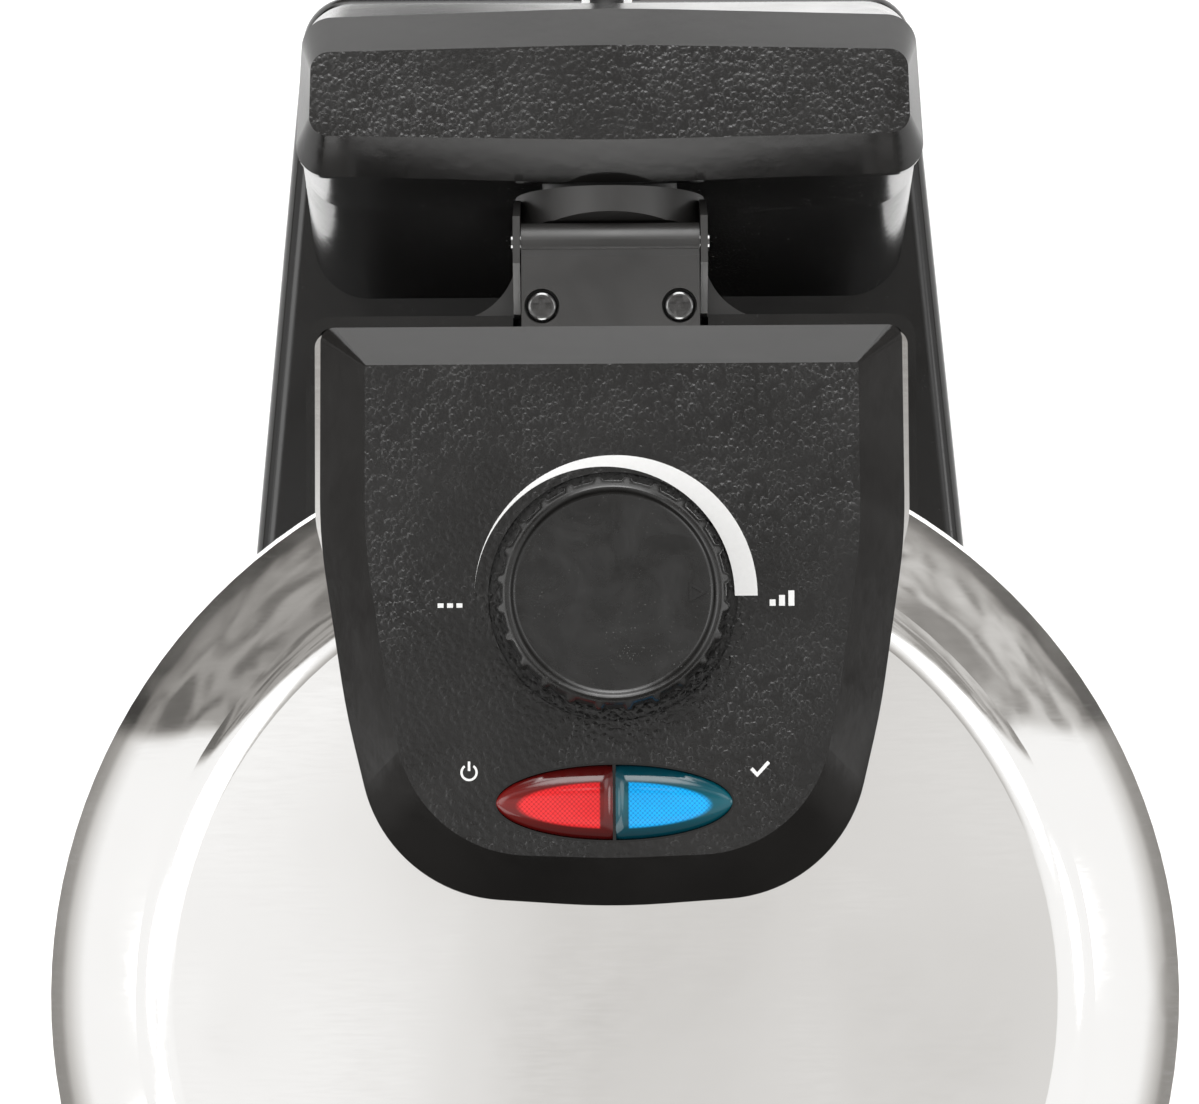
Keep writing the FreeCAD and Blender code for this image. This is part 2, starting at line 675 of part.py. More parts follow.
def base_shell():
    """Moulded base: outer skirt, deck, and the channel that the drip tray slides in."""
    outer = prism(base_outline(0.0), FOOT_H, DECK_Z)
    rim = [e for e in outer.Edges if e.BoundBox.ZMin > DECK_Z - 0.01]
    outer = outer.makeFillet(BASE_EDGE_R, rim)
    hollow = prism(base_outline(BASE_WALL), FOOT_H - 1, DECK_Z - BASE_WALL)
    walls = prism(tray_outline(TRAY_PLAY + 2.0, BASE_FRONT_Y), TRAY_Z[0] - 2.4, DECK_Z)
    channel = prism(tray_outline(TRAY_PLAY, BASE_FRONT_Y - 20), TRAY_Z[0] - 0.4, DECK_Z + 5)
    bosses = [ring_z(1.5, 4, x, y, FOOT_H + 2, DECK_Z - 1) for x, y in boss_places()]
    shell = fuse(cut(outer, hollow), walls.common(outer), *bosses)
    cord_notch = box(-6.3, 6.3, BASE_REAR_Y - 6, BASE_REAR_Y + 1, FOOT_H - 1, DECK_Z + 1)
    notch_wall = box(-8.3, 8.3, BASE_REAR_Y - 8, BASE_REAR_Y - 1, FOOT_H + 2, DECK_Z - 1)
    gland_hole = cyl_y(5.0, CORD_EXIT[0], CORD_EXIT[2], 220, 245)
    return cut(fuse(shell, notch_wall), channel, cord_notch, gland_hole)


def boss_places():
    return [(-60.0, 190.0), (60.0, 190.0), (-80.0, -20.0), (80.0, -20.0)]


def base_bottom_plate():
    plate = prism(base_outline(BASE_WALL + 0.3), FOOT_H, FOOT_H + 2)
    holes = [cyl_z(2.0, x, y, 0, 10) for x, y in boss_places()]
    studs = [cyl_z(3.0, x, y, 0, 10) for x, y in FOOT_PLACES]
    return cut(plate, *holes, *studs)


def rubber_feet():
    feet = []
    for x, y in FOOT_PLACES:
        pad = Part.makeCone(8.0, 9.0, FOOT_H, vec(x, y, 0), Z_AXIS)
        feet.append(fuse(pad, cyl_z(3.0, x, y, FOOT_H, FOOT_H + 2), cyl_z(4.2, x, y, FOOT_H + 2, FOOT_H + 3)))
    return Part.makeCompound(feet)


def base_screws():
    return Part.makeCompound([
        pan_head_screw(x, y, FOOT_H, 3.0, 1.8, 1.5, 10, False)
        for x, y in boss_places()
    ])


def tower_sections(inset):
    front = TOWER_FRONT_Y + inset
    return [
        (rectangle(73.0 - inset, 163.5 + inset, 236.0 - inset, 14.0 - inset), DECK_Z),
        (rectangle(69.0 - inset, front, 219.5 - inset, 11.0 - inset), 110.0),
        (rectangle(64.3 - inset, front, 205.2 - inset, 7.0 - inset), TOWER_TOP_Z),
    ]


def tower_shell():
    inner = [(corners, z + (1 if z == TOWER_TOP_Z else 0)) for corners, z in tower_sections(TOWER_WALL)]
    floor_cut = prism(tower_sections(TOWER_WALL)[0][0], DECK_Z - 1, DECK_Z + 0.01)
    neck_hole = cyl_y(BUSH_R, 0, AXIS_Z, 160, 180)
    return cut(ruled(tower_sections(0.0)), ruled(inner), floor_cut, neck_hole)


def cap_outline(share):
    lower = [(0.0, 170.2, 420.0), (66.9, 172.3, 6.5), (64.9, 205.9, 6.5), (0.0, 207.8, 420.0)]
    upper = [(0.0, 178.1, 420.0), (63.2, 179.4, 4.0), (62.7, 197.0, 4.0), (0.0, 198.3, 420.0)]
    mixed = [
        tuple(a + share * (b - a) for a, b in zip(low, high))
        for low, high in zip(lower, upper)
    ]
    return mirrored(mixed)


def tower_cap():
    """Bevelled cap on the tower, with a thin skirt."""
    body = fuse(
        prism(cap_outline(0.0), TOWER_TOP_Z, CAP_SKIRT_Z),
        ruled([(cap_outline(0.0), CAP_SKIRT_Z), (cap_outline(1.0), CAP_TOP_Z)]),
    )
    hollow = ruled([
        (rectangle(62.0, 173.6, 202.8, 5.0), TOWER_TOP_Z - 1),
        (rectangle(62.0, 173.6, 202.8, 5.0), CAP_SKIRT_Z - 1),
        (rectangle(59.5, 179.8, 195.0, 3.0), CAP_TOP_Z - 2.5),
    ])
    return cut(body, hollow)


def bearing_frame():
    """Frame inside the tower that carries the two bushes and the stop pins."""
    front = fuse(box(-24, 24, 175.6, 181.5, DECK_Z, AXIS_Z), cyl_y(18.4, 0, AXIS_Z, 175.6, 181.5))
    rear = fuse(box(-24, 24, 194.0, 199.0, DECK_Z, AXIS_Z), cyl_y(17.0, 0, AXIS_Z, 194.0, 199.0))
    foot = box(-24, 24, 175.6, 199.0, DECK_Z, DECK_Z + 4)
    web = box(-24, 24, 175.6, 199.0, 112, 116)
    pins = [
        cyl_y(1.9, STOP_PIN_X, AXIS_Z + rise, 181.5, 187.5)
        for rise in (-STOP_PIN_RISE, STOP_PIN_RISE)
    ]
    return cut(
        fuse(front, rear, foot, web, *pins),
        cyl_y(BUSH_R, 0, AXIS_Z, 170, 182),
        cyl_y(REAR_BUSH_R, 0, AXIS_Z, 190, 200),
    )


def front_bearing_bush():
    return ring_y(JOURNAL_R + RUN_CLEAR, BUSH_R, 0, AXIS_Z, 173.0, 181.5)


def rear_bearing_bush():
    return ring_y(TAIL_R + RUN_CLEAR, REAR_BUSH_R, 0, AXIS_Z, 194.0, 199.0)


def drip_tray():
    """Shallow pan with a round rear end and a finger lip at the front."""
    z0, z1 = TRAY_Z
    outer = prism(tray_outline(0.0, BASE_FRONT_Y + 0.3), z0, z1)
    inner = ruled([
        (tray_outline(-TRAY_WALL - 1.5, BASE_FRONT_Y + 0.3 + TRAY_WALL + 1.5), z0 + 1.8),
        (tray_outline(-TRAY_WALL, BASE_FRONT_Y + 0.3 + TRAY_WALL), z1 + 0.1),
    ])
    lip = prism(rectangle(26, BASE_FRONT_Y - 7, BASE_FRONT_Y + 1.3, 0.9), 16.0, 19.0)
    return fuse(cut(outer, inner), lip)


def cord_gland():
    """Tapered strain relief moulded on the cord where it leaves the base."""
    x, y, z = CORD_EXIT
    collar = cyl_y(5.0, x, z, y - 7, y - 1)
    neck = Part.makeCone(5.0, CORD_R + 0.4, GLAND_TAPER, vec(x, y - 1, z), Y_AXIS)
    bore = cyl_y(CORD_R, x, z, y + 3, y + 30)
    flange = cyl_y(5.9, x, z, y - 9.5, y - 7)
    return cut(fuse(flange, collar, neck), bore)


def cord_clamp():
    bridge = box(-12, 12, 206, 214, 14.4, 17.4)
    posts = [cyl_z(2.5, x, 210, FOOT_H + 2, 14.4) for x in (-9.0, 9.0)]
    return fuse(bridge, *posts)


def inner_cord():
    x, y, z = CORD_EXIT
    return cyl_y(2.4, x, z, 195, y - 9.5)


def terminal_block():
    block = box(-16, 16, 180, 195, 7, 17)
    wells = [cyl_z(2.2, x, 187.5, 12, 18) for x in (-10.0, 0.0, 10.0)]
    return cut(block, *wells)


# ---------------------------------------------------------------- free cord

def cord_route():
    """Points of the cord from its gland to where it joins the coil."""
    return [
        vec(0, 236, 12), vec(0, 262, 12), vec(-2, 286, CORD_R + FLOOR_GAP),
        vec(COIL_CENTRE[0] + COIL_R, COIL_CENTRE[1], CORD_R + FLOOR_GAP),
    ]


def route_wire(points):
    """Straight runs joined by tangent arcs, each as large as its two runs allow."""
    edges, start = [], points[0]
    for before, here, after in zip(points, points[1:], points[2:]):
        back, ahead = before - here, after - here
        shorter = min(back.Length, ahead.Length)
        back.normalize()
        ahead.normalize()
        half_turn = (math.pi - back.getAngle(ahead)) / 2
        reach = 0.45 * shorter
        radius = reach / math.tan(half_turn)
        print("cord arc radius", round(radius, 1))
        first, last = here + back * reach, here + ahead * reach
        bisector = back + ahead
        bisector.normalize()
        middle = here + bisector * (radius / math.cos(half_turn) - radius)
        edges.append(Part.LineSegment(start, first).toShape())
        edges.append(Part.Arc(first, middle, last).toShape())
        start = last
    edges.append(Part.LineSegment(start, points[-1]).toShape())
    return Part.Wire(edges)


def cord_tube():
    route = route_wire(cord_route())
    section = Part.Wire(Part.makeCircle(CORD_R, cord_route()[0], Y_AXIS))
    tube = route.makePipeShell([section], True, False)
    expected = math.pi * CORD_R ** 2 * route.Length
    print("cord tube volume over section times length", round(tube.Volume / expected, 4))
    return tube


def coil_section(outset, z_out):
    low, high = COIL_Z[0] - z_out, COIL_Z[1] + z_out
    inner, outer = COIL_R - COIL_HALF - outset, COIL_R + COIL_HALF + outset
    r = 2.5
    corners = [(inner, low, r), (outer, low, r), (outer, high, r), (inner, high, r)]
    face = Part.Face(rounded_wire(corners, 0))
    face.rotate(vec(0, 0, 0), X_AXIS, 90)
    return face


def cord_coil():
    ring = coil_section(0, 0).revolve(vec(0, 0, 0), Z_AXIS, 360)
    ring.translate(vec(COIL_CENTRE[0], COIL_CENTRE[1], 0))
    return ring


def cord_tie():
    """Band round the coil's turns."""
    band = coil_section(1.2, 1.2).revolve(vec(0, 0, 0), Z_AXIS, 8)
    band = cut(band, coil_section(0, 0).revolve(vec(0, 0, 0), Z_AXIS, 360))
    band.rotate(vec(0, 0, 0), Z_AXIS, 72)
    band.translate(vec(COIL_CENTRE[0], COIL_CENTRE[1], 0))
    return band


def mains_plug():
    """Flat two-blade plug lying beside the coil, its blades towards -X."""
    y0 = COIL_CENTRE[1] + COIL_R + COIL_HALF - 10
    x0 = COIL_CENTRE[0] - 12
    body = prism([(x0, y0 + 2, 5), (x0, y0 + 20, 5), (x0 - 26, y0 + 22, 3), (x0 - 26, y0, 3)], 0.3, 13.3)
    blades = [box(x0 - 43, x0 - 25, y0 + y - 0.8, y0 + y + 0.8, 3.6, 10.0) for y in (4.65, 17.35)]
    return fuse(body, *blades)


# ---------------------------------------------------------------- all pieces

def pieces():
    yield "base_shell", base_shell()
    yield "base_bottom_plate", base_bottom_plate()
    yield "rubber_feet", rubber_feet()
    yield "base_screws", base_screws()
    yield "tower_shell", tower_shell()
    yield "tower_cap", tower_cap()
    yield "bearing_frame", bearing_frame()
    yield "front_bearing_bush", front_bearing_bush()
    yield "rear_bearing_bush", rear_bearing_bush()
    yield "cord_gland", cord_gland()
    yield "cord_clamp", cord_clamp()
    yield "inner_cord", inner_cord()
    yield "terminal_block", terminal_block()
    yield "drip_tray", drip_tray()
    yield "neck_casting", neck_casting()
    yield "neck_screws", neck_screws()
    yield "hinge_pin", hinge_pin()
    yield "stop_collar", stop_collar()
    yield "retaining_ring", retaining_ring()
    yield "lower_hinge_housing", lower_hinge_housing()
    yield "lower_shell", lower_shell()
    yield "lower_ring", lower_ring()
    yield "lower_plate", other_half(half_plate())
    yield "lower_plate_screws", other_half(half_plate_screws())
    yield "lower_element", other_half(half_element())
    yield "lower_heat_shield", other_half(half_shield())
    yield "handle_mount", handle_mount()
    yield "handle_pin", handle_pin()
    yield "upper_shell", upper_shell()
    yield "upper_ring", half_ring()
    yield "upper_plate", half_plate()
    yield "upper_plate_screws", half_plate_screws()
    yield "upper_element", half_element()
    yield "upper_heat_shield", half_shield()
    yield "lid_hinge_bracket", lid_hinge_bracket()
    yield "lid_hinge_arm", lid_hinge_arm()
    yield "arm_screws", arm_screws()
    yield "control_panel", control_panel()
    yield "power_lens", half_lens(-1)
    yield "ready_lens", half_lens(1)
    yield "power_lamp", indicator_lamp(-1)
    yield "ready_lamp", indicator_lamp(1)
    yield "lamp_holder", lamp_holder()
    yield "thermostat", thermostat()
    yield "thermal_fuse", thermal_fuse()
    yield "lid_grip", lid_grip()
    yield "latch_pin", latch_pin()
    yield "lid_latch", lid_latch()
    yield "control_knob", control_knob()
    yield "thermostat_shaft", thermostat_shaft()
    yield "handle_core", with_handle_holes(handle_core(), False)
    yield "handle_upper_grip", with_handle_holes(handle_half(1), False)
    yield "handle_lower_grip", with_handle_holes(handle_half(-1), True)
    yield "handle_screws", handle_screws()
    yield "cord_tube", cord_tube()
    yield "cord_coil", cord_coil()
    yield "cord_tie", cord_tie()
    yield "mains_plug", mains_plug()


def save(name, shape):
    shape.translate(vec(0, FRAME_SHIFT_Y, 0))
    shape.exportStep(f"parts/{name}.step")


os.makedirs("parts", exist_ok=True)
for piece_name, piece_shape in pieces():
    save(piece_name, piece_shape)
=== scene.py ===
import json
import math

import bmesh
import bpy
from mathutils import Matrix, Vector


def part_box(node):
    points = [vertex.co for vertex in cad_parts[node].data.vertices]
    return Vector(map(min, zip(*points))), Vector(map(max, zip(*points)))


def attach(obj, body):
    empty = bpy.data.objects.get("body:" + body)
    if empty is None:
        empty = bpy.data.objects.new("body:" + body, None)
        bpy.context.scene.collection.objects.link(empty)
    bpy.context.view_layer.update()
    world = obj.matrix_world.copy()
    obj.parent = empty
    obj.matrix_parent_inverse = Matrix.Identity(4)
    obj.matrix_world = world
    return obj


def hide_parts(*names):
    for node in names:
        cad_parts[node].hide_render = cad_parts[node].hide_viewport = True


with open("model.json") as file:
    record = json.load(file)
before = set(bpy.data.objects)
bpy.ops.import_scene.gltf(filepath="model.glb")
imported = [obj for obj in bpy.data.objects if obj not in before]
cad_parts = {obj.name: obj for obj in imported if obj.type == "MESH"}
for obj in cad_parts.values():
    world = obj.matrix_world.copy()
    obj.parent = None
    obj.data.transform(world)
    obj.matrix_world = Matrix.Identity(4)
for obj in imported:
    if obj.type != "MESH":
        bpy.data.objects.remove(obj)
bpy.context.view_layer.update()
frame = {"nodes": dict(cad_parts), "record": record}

MM = 0.001
NODES = frame["nodes"]

# Lengths below are millimetres from the middle of the round lid, on the floor, as the CAD part is
# drawn. place() puts such a point into the row frame.
_low, _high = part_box("lower_plate")
LID_CENTRE_Y = (_low.y + _high.y) / 2


def place(x, y, z):
    return Vector((x * MM, y * MM + LID_CENTRE_Y, z * MM))


# ---------------------------------------------------------------- camera

CAMERA_SPOT = (-2.67, 44.3, 980)
CAMERA_TILT = 3.34  # degrees off straight down, towards the rear
CAMERA_ROLL = -0.35
CAMERA_LENS = 116.6  # focal length for a film gate 36 mm wide


def make_camera():
    """Looks almost straight down on the rear half of the lid, turned a little to the rear."""
    tilt, roll = math.radians(CAMERA_TILT), math.radians(CAMERA_ROLL)
    ahead = Vector((0, math.sin(tilt), -math.cos(tilt)))
    right = Vector((1, 0, 0))
    up = Vector((0, math.cos(tilt), math.sin(tilt)))
    turned_right = right * math.cos(roll) + up * math.sin(roll)
    turned_up = up * math.cos(roll) - right * math.sin(roll)
    data = bpy.data.cameras.new("camera")
    data.sensor_width = 36
    data.lens = CAMERA_LENS
    data.clip_start = 0.02
    camera = bpy.data.objects.new("camera", data)
    turn = Matrix((turned_right, turned_up, -ahead)).transposed().to_4x4()
    camera.matrix_world = Matrix.Translation(place(*CAMERA_SPOT)) @ turn
    bpy.context.scene.collection.objects.link(camera)
    bpy.context.scene.camera = camera


make_camera()


# ---------------------------------------------------------------- mesh helpers

def mesh_piece(name, points, faces, material, body, smooth_deg=35):
    """Mesh from points in metres in the row frame, riding on a body."""
    mesh = bpy.data.meshes.new(name)
    mesh.from_pydata([tuple(p) for p in points], [], faces)
    mesh.validate()
    tidy = bmesh.new()
    tidy.from_mesh(mesh)
    bmesh.ops.recalc_face_normals(tidy, faces=tidy.faces)
    tidy.to_mesh(mesh)
    tidy.free()
    mesh.shade_smooth()
    mesh.set_sharp_from_angle(angle=math.radians(smooth_deg))
    piece = bpy.data.objects.new(name, mesh)
    bpy.context.scene.collection.objects.link(piece)
    piece.data.materials.append(material)
    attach(piece, body)
    return piece


def grid_faces(rows, columns, closed_rows=False, closed_columns=False):
    """Quads between points laid out row after row."""
    faces = []
    for i in range(rows if closed_rows else rows - 1):
        for j in range(columns if closed_columns else columns - 1):
            a, b = i * columns + j, i * columns + (j + 1) % columns
            c, d = ((i + 1) % rows) * columns + (j + 1) % columns, ((i + 1) % rows) * columns + j
            faces.append((a, b, c, d))
    return faces


def tube_faces(rows, columns):
    """Faces of a tube of rings of points, closed at both ends."""
    last = (rows - 1) * columns
    ends = [tuple(range(columns)), tuple(range(last, last + columns))]
    return grid_faces(rows, columns, closed_columns=True) + ends


def wall_faces(lower, upper):
    """Quads between two closed loops of point numbers, equally long."""
    count = len(lower)
    return [(lower[i], lower[(i + 1) % count], upper[(i + 1) % count], upper[i]) for i in range(count)]


def prism_faces(count):
    """Faces of a prism: one end's points, then the other end's, in the same order."""
    near_end, far_end = tuple(range(count)), tuple(range(count, 2 * count))
    return [near_end, far_end] + wall_faces(near_end, far_end)


def slab_piece(name, outline, z0, z1, material, body):
    """Flat plate between two heights, its outline given as (x, y) points in order."""
    points = [place(x, y, z) for z in (z0, z1) for x, y in outline]
    return mesh_piece(name, points, prism_faces(len(outline)), material, body)


def lathe_piece(name, centre, profile, swell, count, material, body):
    """Turned piece about a vertical axis; profile is (radius, z, share of the swell), bottom to top."""
    points = []
    for radius, z, share in profile:
        for i in range(count):
            turn = 2 * math.pi * i / count
            r = radius + share * swell(turn)
            points.append(place(centre[0] + r * math.cos(turn), centre[1] + r * math.sin(turn), z))
    faces = tube_faces(len(profile), count)
    return mesh_piece(name, points, faces, material, body, 40)


def frame_piece(name, outer, inner, z0, z1, material, body):
    """Flat ring between two outlines of equally many (x, y) points."""
    count = len(outer)
    points = [place(x, y, z) for z in (z0, z1) for x, y in outer + inner]
    low_out, low_in, high_out, high_in = (range(k * count, (k + 1) * count) for k in range(4))
    faces = []
    for lower, upper in ((low_out, low_in), (high_out, high_in), (low_out, high_out), (low_in, high_in)):
        faces += wall_faces(lower, upper)
    return mesh_piece(name, points, faces, material, body)


def arc_points(centre, radius, start_deg, end_deg, count):
    """Points (x, y) along an arc, both its ends among them."""
    points = []
    for i in range(count):
        turn = math.radians(start_deg + (end_deg - start_deg) * i / (count - 1))
        points.append((centre[0] + radius * math.cos(turn), centre[1] + radius * math.sin(turn)))
    return points


def signed_power(value, power):
    """Power of the size of a value, its sign kept: squares off a circle drawn with sine and cosine."""
    return math.copysign(abs(value) ** power, value)


# ---------------------------------------------------------------- materials

class Shading:
    """Adds shader nodes to one tree. where is the vector that its patterns are laid out on."""

    def __init__(self, tree):
        self.tree = tree
        self.where = None

    def join(self, source, target):
        self.tree.links.new(source, target)

    def value(self, source, target):
        """Sets a socket to a number, or joins another node's output to it."""
        if isinstance(source, (int, float)):
            target.default_value = source
        else:
            self.join(source, target)

    def math(self, operation, a, b=0.0):
        node = self.tree.nodes.new("ShaderNodeMath")
        node.operation = operation
        self.value(a, node.inputs[0])
        self.value(b, node.inputs[1])
        return node.outputs[0]

    def stretched(self, x, y, z):
        """Coordinates scaled per axis; a smaller scale draws a pattern out along that axis."""
        node = self.tree.nodes.new("ShaderNodeMapping")
        node.inputs["Scale"].default_value = (x, y, z)
        self.join(self.where, node.inputs["Vector"])
        return node.outputs["Vector"]

    def noise(self, size, detail=2.0, roughness=0.5, distortion=0.0, vector=None):
        """Cloudy value from 0 to 1 whose blotches are about size millimetres across."""
        node = self.tree.nodes.new("ShaderNodeTexNoise")
        node.inputs["Scale"].default_value = 1 / size
        node.inputs["Detail"].default_value = detail
        node.inputs["Roughness"].default_value = roughness
        node.inputs["Distortion"].default_value = distortion
        self.join(vector or self.where, node.inputs["Vector"])
        return node.outputs[0]

    def cells(self, size, vector=None):
        """Distance to the nearest of points strewn about size millimetres apart, in cell sizes."""
        node = self.tree.nodes.new("ShaderNodeTexVoronoi")
        node.inputs["Scale"].default_value = 1 / size
        self.join(vector or self.where, node.inputs["Vector"])
        return node.outputs["Distance"]

    def spread(self, value, low, high, to_low=0.0, to_high=1.0, smooth=False):
        """Carries low to high over to to_low to to_high, and holds the ends beyond."""
        node = self.tree.nodes.new("ShaderNodeMapRange")
        if smooth:
            node.interpolation_type = "SMOOTHSTEP"
        self.join(value, node.inputs["Value"])
        node.inputs["From Min"].default_value = low
        node.inputs["From Max"].default_value = high
        node.inputs["To Min"].default_value = to_low
        node.inputs["To Max"].default_value = to_high
        return node.outputs["Result"]

    def blend(self, factor, first, second):
        """Colour from first to second; each is a colour tuple or another node's output."""
        node = self.tree.nodes.new("ShaderNodeMix")
        node.data_type = "RGBA"
        self.join(factor, node.inputs[0])
        for colour, socket in ((first, node.inputs[6]), (second, node.inputs[7])):
            if isinstance(colour, tuple):
                socket.default_value = (*colour, 1)
            else:
                self.join(colour, socket)
        return node.outputs[2]

    def jostle(self, amount, size):
        """Coordinates pushed about by noise, so that cells lose their straight walls."""
        noise = self.tree.nodes.new("ShaderNodeTexNoise")
        noise.inputs["Scale"].default_value = 1 / size
        self.join(self.where, noise.inputs["Vector"])
        shift = self.tree.nodes.new("ShaderNodeVectorMath")
        shift.operation = "MULTIPLY_ADD"
        shift.inputs[1].default_value = (amount, amount, amount)
        self.join(noise.outputs[1], shift.inputs[0])
        self.join(self.where, shift.inputs[2])
        return shift.outputs["Vector"]

    def split(self, vector=None):
        """The x, y and z of a vector."""
        node = self.tree.nodes.new("ShaderNodeSeparateXYZ")
        self.join(vector or self.where, node.inputs[0])
        return node.outputs


class Finish(Shading):
    """One procedural material, built up around its Principled shader. Lengths are millimetres."""

    def __init__(self, name, **sockets):
        self.material = bpy.data.materials.new(name)
        self.material.use_nodes = True
        super().__init__(self.material.node_tree)
        self.shader = self.tree.nodes["Principled BSDF"]
        coords = self.tree.nodes.new("ShaderNodeTexCoord")
        scaled = self.tree.nodes.new("ShaderNodeVectorMath")
        scaled.operation = "SCALE"
        scaled.inputs["Scale"].default_value = 1 / MM
        self.join(coords.outputs["Object"], scaled.inputs[0])
        self.where = scaled.outputs["Vector"]
        self.normal = coords.outputs["Normal"]
        for socket, value in sockets.items():
            self.shader.inputs[socket.replace("_", " ")].default_value = value

    def put(self, source, socket):
        self.join(source, self.shader.inputs[socket])

    def bump(self, height, depth):
        """Raises the surface by height (0 to 1) times depth millimetres."""
        node = self.tree.nodes.new("ShaderNodeBump")
        node.inputs["Strength"].default_value = 1.0
        node.inputs["Distance"].default_value = depth * MM
        self.join(height, node.inputs["Height"])
        self.join(node.outputs["Normal"], self.shader.inputs["Normal"])


GRAIN_CELL = 1.3
GRAIN_DEPTH = 0.13


def leather_grain(finish, on_top):
    """Irregular pebbled grain moulded into the flat tops, fading out to the smooth bevels."""
    wobble = finish.jostle(0.9, 1.1)
    pebbles = finish.spread(finish.cells(GRAIN_CELL, vector=wobble), 0.1, 0.8, 1.0, 0.0, smooth=True)
    fine = finish.noise(0.45, 2)
    drift = finish.spread(finish.noise(26, 2), 0.35, 0.65, 0.45, 1.0)
    height = finish.math("ADD", pebbles, finish.math("MULTIPLY", fine, 0.3))
    height = finish.math("MULTIPLY", finish.math("MULTIPLY", height, drift), on_top)
    peel = finish.math("MULTIPLY", finish.noise(3.5, 2), 0.16)
    finish.bump(finish.math("ADD", height, peel), GRAIN_DEPTH)


def black_gloss(name="black_gloss", tone=0.0055, rough=0.15):
    """Glossy moulded black plastic: orange peel, faint smears and a few dull specks."""
    f = Finish(name, IOR=1.5)
    smear = f.noise(28, 4, 0.6, 0.8)
    specks = f.spread(f.noise(0.9, 1), 0.70, 0.78)
    dark = (tone * 0.8, tone * 0.76, tone * 0.72)
    light = (tone * 1.3, tone * 1.25, tone * 1.2)
    f.put(f.blend(smear, dark, light), "Base Color")
    rough_smear = f.spread(smear, 0.3, 0.75, rough * 0.8, rough * 1.35)
    f.put(f.math("ADD", rough_smear, f.math("MULTIPLY", specks, 0.12)), "Roughness")
    peel = f.noise(2.6, 2)
    f.bump(f.math("ADD", peel, f.math("MULTIPLY", specks, 0.25)), 0.012)
    return f.material


def black_grained(name="black_grained"):
    """Semi-gloss black plastic with a leather grain."""
    f = Finish(name, IOR=1.5)
    cloud = f.noise(22, 4, 0.6, 0.5)
    on_top = f.spread(f.split(f.normal)[2], 0.975, 0.995, smooth=True)
    f.put(f.blend(cloud, (0.0045, 0.0042, 0.004), (0.0085, 0.008, 0.0076)), "Base Color")
    top_rough = f.spread(cloud, 0.3, 0.7, 0.20, 0.30)
    f.put(f.math("MULTIPLY", top_rough, f.spread(on_top, 0.0, 1.0, 0.62, 1.0)), "Roughness")
    leather_grain(f, on_top)
    return f.material


def black_satin(name, tone=0.014, rough=0.42, grain=0.35, depth=0.012):
    """Satin black plastic with the fine spark texture of a mould."""
    f = Finish(name, IOR=1.5)
    cloud = f.noise(18, 4, 0.6, 0.6)
    dark = (tone * 0.75, tone * 0.72, tone * 0.7)
    light = (tone * 1.3, tone * 1.28, tone * 1.25)
    f.put(f.blend(cloud, dark, light), "Base Color")
    f.put(f.spread(cloud, 0.3, 0.7, rough * 0.85, rough * 1.15), "Roughness")
    f.bump(f.noise(grain, 3, 0.6), depth)
    return f.material


def knob_black():
    """Satin black of the knob: smudges, dull dust and fine rubbed specks on its top."""
    f = Finish("knob_black", IOR=1.5)
    smudge = f.noise(13, 5, 0.65, 1.2)
    dust = f.spread(f.noise(0.42, 1), 0.68, 0.76)
    patch = f.spread(f.noise(9, 3, 0.6, 0.6), 0.48, 0.66)
    dust = f.math("MULTIPLY", dust, patch)
    body = f.blend(smudge, (0.004, 0.0038, 0.0035), (0.010, 0.0097, 0.0093))
    f.put(f.blend(f.math("MULTIPLY", dust, 0.4), body, (0.16, 0.16, 0.155)), "Base Color")
    f.put(f.spread(smudge, 0.3, 0.7, 0.16, 0.40), "Roughness")
    f.bump(f.math("ADD", f.noise(1.1, 3), f.math("MULTIPLY", dust, 0.8)), 0.014)
    return f.material


def polished_steel():
    """Mirror-polished stainless sheet: slow waves from pressing, hairline wipe marks, faint smears."""
    f = Finish("polished_steel", Metallic=1.0)
    smear = f.noise(46, 4, 0.6, 0.6)
    f.put(f.blend(smear, (0.90, 0.895, 0.885), (0.955, 0.95, 0.942)), "Base Color")
    hair = f.noise(1.0, 3, 0.6, vector=f.stretched(0.18, 1.6, 0.18))
    hair_rough = f.spread(hair, 0.35, 0.75, 0.0, 0.05)
    f.put(f.math("ADD", f.spread(smear, 0.35, 0.7, 0.045, 0.10), hair_rough), "Roughness")
    waves = f.noise(34, 1, vector=f.stretched(1.0, 0.35, 1.0))
    f.bump(waves, 0.10)
    return f.material


def zinc_steel(name="zinc_steel", tint=(0.52, 0.52, 0.51)):
    """Bright zinc plate with turning marks and a little tarnish."""
    f = Finish(name, Metallic=1.0)
    tarnish = f.noise(5, 4, 0.6, 0.4)
    f.put(f.blend(tarnish, tuple(0.7 * c for c in tint), tint), "Base Color")
    f.put(f.spread(tarnish, 0.3, 0.7, 0.22, 0.42), "Roughness")
    f.bump(f.noise(0.5, 2, vector=f.stretched(0.3, 1.5, 1.5)), 0.008)
    return f.material


def black_oxide():
    """Black-finished screw heads, bare in worn patches."""
    f = Finish("black_oxide", Metallic=0.15, IOR=2.3)
    wear = f.noise(1.1, 3, 0.6)
    f.put(f.blend(f.spread(wear, 0.6, 0.8), (0.010, 0.010, 0.010), (0.06, 0.058, 0.056)), "Base Color")
    f.put(f.spread(wear, 0.3, 0.7, 0.10, 0.22), "Roughness")
    f.bump(f.noise(0.5, 2), 0.006)
    return f.material


